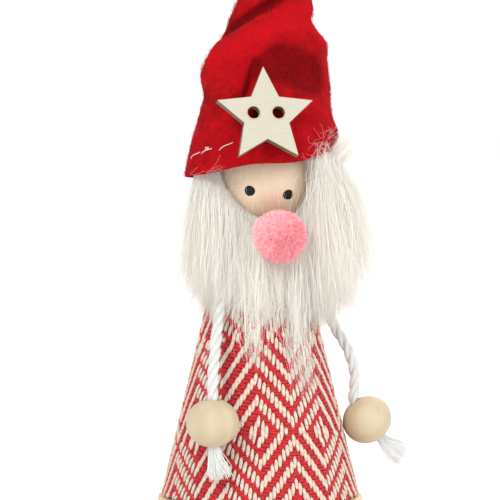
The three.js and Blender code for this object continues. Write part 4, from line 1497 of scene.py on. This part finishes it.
LOCKS = [
    Lock("hair_left", "fur_left", 5100, [(-140, -1), (-66, 1)], (0, -8), [33, 33],
         (1, 0.1, 0.15), 0.3, 101, stand=-0.05, frizz=0.16),
    Lock("cheek_left", "", 5100, [(-68, 3.5), (-46, -6), (-24, -12)], (-30, -3), [43, 41, 38],
         (1, 0.2, 0.1), 0.28, 102, stand=0.02, frizz=0.2),
    Lock("hair_right", "fur_right", 5100, [(140, 2), (66, 4.5)], (0, -9), [39, 45],
         (1, 0.1, 0.25), 0.3, 103, stand=0.03),
    Lock("cheek_right", "", 5100, [(50, 8.5), (52, -3), (47, -11)], (30, -3), [55, 47, 40],
         (1, -0.25, 0), 0.26, 104, stand=0.06),
    Lock("hair_back", "fur_back", 5100, [(138, 1), (222, 1)], (0, -9), [35, 35],
         (1, 0, 0.1), 0.4, 105),
    Lock("beard_front", "beard", 3600, [(-40, -11), (10, -13), (60, -10)], (0, -6), [36, 40, 40],
         (1, 0.1, 0), 0.25, 106, stand=0.0, shortest=0.2, frizz=0.5),
    Lock("beard_tip", "", 560, [(-34, -11), (-10, -13), (18, -13), (36, -11)], (0, -6), [54, 50, 78, 46],
         (1, 0.1, 0), 0.25, 112, stand=0.0, shortest=0.4, pull=0.95, ragged=1.1),
    Lock("tuft_right", "", 1600, [(68, 5.5), (125, 5)], (0, -3), [20, 16],
         (1, 0.1, 0.15), 0.9, 107, droop=-0.7, stand=0.45, shortest=0.3, pull=0.15),
    Lock("wisps_right", "", 420, [(66, 2), (105, 0)], (0, -6), [47, 46],
         (1, 0.1, 0.2), 0.45, 109, stand=0.2, pull=0.3),
    Lock("wisps_left", "", 260, [(-105, 0), (-66, 0)], (0, -6), [36, 38],
         (1, 0.1, 0), 0.35, 110, stand=0.06, pull=0.2),
    Lock("face_edge", "", 2600, [(-69, 4), (-33, -11), (0, -14), (46, -11), (51, -4), (49, 8)], (-2, 0), [8],
         (1, -0.35, -0.1), 1.2, 111, stand=0.4, shortest=0.3, pull=0.0),
    Lock("stray_hairs", "", 44, [(-64, 3), (-10, 3.5), (60, 3)], (0, -12), [26, 22, 26],
         (0.8, 0.2, 0.3), 0.6, 108, stand=0.3, pull=0.0),
]


def make_fur(scene):
    """The pile, lock by lock, and the strip that it stands on."""
    settings = scene.tomte_fur
    pile = fibre_finish("white_pile", settings.pile, 0.97, 1.04, spread=0.06, roughness=0.6, glow=0.09)
    route = smooth_route(np.array(ARM_ROUTE) / MM, 1.0)
    cord = route[nearest(route, LEFT_BEAD) + 6 : nearest(route, RIGHT_BEAD) - 6]
    for lock in LOCKS:
        draw = np.random.default_rng(lock.seed)
        paths = grow(lock, draw, cord)
        if lock.pull:
            paths = clump(paths, draw, max(12, lock.hairs // 70), lock.pull)
        thickness = mm(settings.thickness) * (1.0 if lock.pull else 0.4)
        radii = hair_radii(lock.hairs, thickness, draw)
        hair = strands(lock.name, paths, radii, pile, seed=lock.seed)
        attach(hair, "figure")
        if lock.node:
            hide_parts(lock.node)
    make_backing(settings)


def make_backing(settings):
    """The knitted strip that the pile stands on, and the dense undercoat over it."""
    finish = Finish("knit_backing", roughness=0.95)
    loops = finish.noise(finish.place(), 1.4, detail=3)
    finish.colour(finish.mix(shade(settings.pile, 0.82), settings.pile, loops.between(0.35, 0.65)))
    finish.bump(loops, 0.3)
    columns, rows = 140, 14
    turn = np.radians(np.linspace(76, 286, columns))
    low, high = node_box("fur_backing")
    height = np.linspace(low[2] - 2, high[2] + 0.5, rows)[:, None]
    level = np.sqrt(np.maximum(HEAD_RADIUS**2 - (height - HEAD[2]) ** 2, 100))
    outer = round_axis(turn[None], level + 2.6 + 0 * turn[None], height, HEAD[:2])
    inner = round_axis(turn[None], level + 0.5 + 0 * turn[None], height, HEAD[:2])
    outer += 0.5 * waves(outer, 3.5, 71)[..., None] * unit(outer - HEAD)
    points = np.concatenate([outer, inner])
    backing = add_mesh("fur_strip", points, shell_faces(rows, columns), finish.material)
    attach(backing, "figure")
    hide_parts("fur_backing")


# One operator for each piece or group of like pieces.


class TOMTE_OT_stage(bpy.types.Operator):
    """Add the floor, the lights and the camera"""

    bl_idname = "tomte.stage"
    bl_label = "Make Stage"
    bl_options = {"REGISTER", "UNDO"}

    def execute(self, context):
        make_stage(context.scene)
        return {"FINISHED"}


class TOMTE_OT_arm_cords(bpy.types.Operator):
    """Add the twisted cord arms and their frayed ends"""

    bl_idname = "tomte.arm_cords"
    bl_label = "Make Arm Cords"
    bl_options = {"REGISTER", "UNDO"}

    def execute(self, context):
        make_arm_cords(context.scene)
        return {"FINISHED"}


class TOMTE_OT_hands(bpy.types.Operator):
    """Add the wooden beads"""

    bl_idname = "tomte.hands"
    bl_label = "Make Hands"
    bl_options = {"REGISTER", "UNDO"}

    def execute(self, context):
        make_hands(context.scene)
        return {"FINISHED"}


class TOMTE_OT_base(bpy.types.Operator):
    """Add the wooden base disc"""

    bl_idname = "tomte.base"
    bl_label = "Make Base"
    bl_options = {"REGISTER", "UNDO"}

    def execute(self, context):
        make_base(context.scene)
        return {"FINISHED"}


class TOMTE_OT_card_cone(bpy.types.Operator):
    """Give the inner cone its card finish"""

    bl_idname = "tomte.card_cone"
    bl_label = "Finish Card Cone"
    bl_options = {"REGISTER", "UNDO"}

    def execute(self, context):
        make_card_cone()
        return {"FINISHED"}


class TOMTE_OT_body_cover(bpy.types.Operator):
    """Add the woven cloth"""

    bl_idname = "tomte.body_cover"
    bl_label = "Make Body Cover"
    bl_options = {"REGISTER", "UNDO"}

    def execute(self, context):
        make_body_cover(context.scene)
        return {"FINISHED"}


class TOMTE_OT_head(bpy.types.Operator):
    """Add the wooden ball and its painted eyes"""

    bl_idname = "tomte.head"
    bl_label = "Make Head"
    bl_options = {"REGISTER", "UNDO"}

    def execute(self, context):
        make_head(context.scene)
        return {"FINISHED"}


class TOMTE_OT_nose(bpy.types.Operator):
    """Add the pompom"""

    bl_idname = "tomte.nose"
    bl_label = "Make Nose"
    bl_options = {"REGISTER", "UNDO"}

    def execute(self, context):
        make_nose(context.scene)
        return {"FINISHED"}


class TOMTE_OT_hat(bpy.types.Operator):
    """Add the felt hat and its wadding"""

    bl_idname = "tomte.hat"
    bl_label = "Make Hat"
    bl_options = {"REGISTER", "UNDO"}

    def execute(self, context):
        make_hat(context.scene)
        return {"FINISHED"}


class TOMTE_OT_star(bpy.types.Operator):
    """Add the plywood star"""

    bl_idname = "tomte.star"
    bl_label = "Make Star"
    bl_options = {"REGISTER", "UNDO"}

    def execute(self, context):
        make_star(context.scene)
        return {"FINISHED"}


class TOMTE_OT_hat_thread(bpy.types.Operator):
    """Add the loose stitches and stray fibres"""

    bl_idname = "tomte.hat_thread"
    bl_label = "Make Hat Thread"
    bl_options = {"REGISTER", "UNDO"}

    def execute(self, context):
        make_hat_thread()
        return {"FINISHED"}


class TOMTE_OT_fur(bpy.types.Operator):
    """Add the beard and the hair"""

    bl_idname = "tomte.fur"
    bl_label = "Make Fur"
    bl_options = {"REGISTER", "UNDO"}

    def execute(self, context):
        make_fur(context.scene)
        return {"FINISHED"}


OPERATORS = [
    TOMTE_OT_stage,
    TOMTE_OT_arm_cords,
    TOMTE_OT_hands,
    TOMTE_OT_base,
    TOMTE_OT_card_cone,
    TOMTE_OT_body_cover,
    TOMTE_OT_head,
    TOMTE_OT_nose,
    TOMTE_OT_hat,
    TOMTE_OT_star,
    TOMTE_OT_hat_thread,
    TOMTE_OT_fur,
]


class TOMTE_PT_panel(bpy.types.Panel):
    """Lists the gnome's settings and the steps that make it."""

    bl_label = "Tomte"
    bl_idname = "TOMTE_PT_panel"
    bl_space_type = "VIEW_3D"
    bl_region_type = "UI"
    bl_category = "Tomte"

    def draw(self, context):
        for group in GROUPS:
            settings = getattr(context.scene, group)
            box = self.layout.box()
            for name in settings.bl_rna.properties.keys():
                if name not in ("rna_type", "name"):
                    box.prop(settings, name)
        for step in OPERATORS:
            self.layout.operator(step.bl_idname)


def register():
    for name, group in GROUPS.items():
        bpy.utils.register_class(group)
        setattr(bpy.types.Scene, name, bpy.props.PointerProperty(type=group))
    for made in (*OPERATORS, TOMTE_PT_panel):
        bpy.utils.register_class(made)


def unregister():
    for made in reversed((*OPERATORS, TOMTE_PT_panel)):
        bpy.utils.unregister_class(made)
    for name, group in GROUPS.items():
        delattr(bpy.types.Scene, name)
        bpy.utils.unregister_class(group)


def main():
    """Makes every piece."""
    register()
    for step in OPERATORS:
        getattr(bpy.ops.tomte, step.bl_idname.removeprefix("tomte."))()
    bpy.context.view_layer.update()


if __name__ == "__main__":
    main()
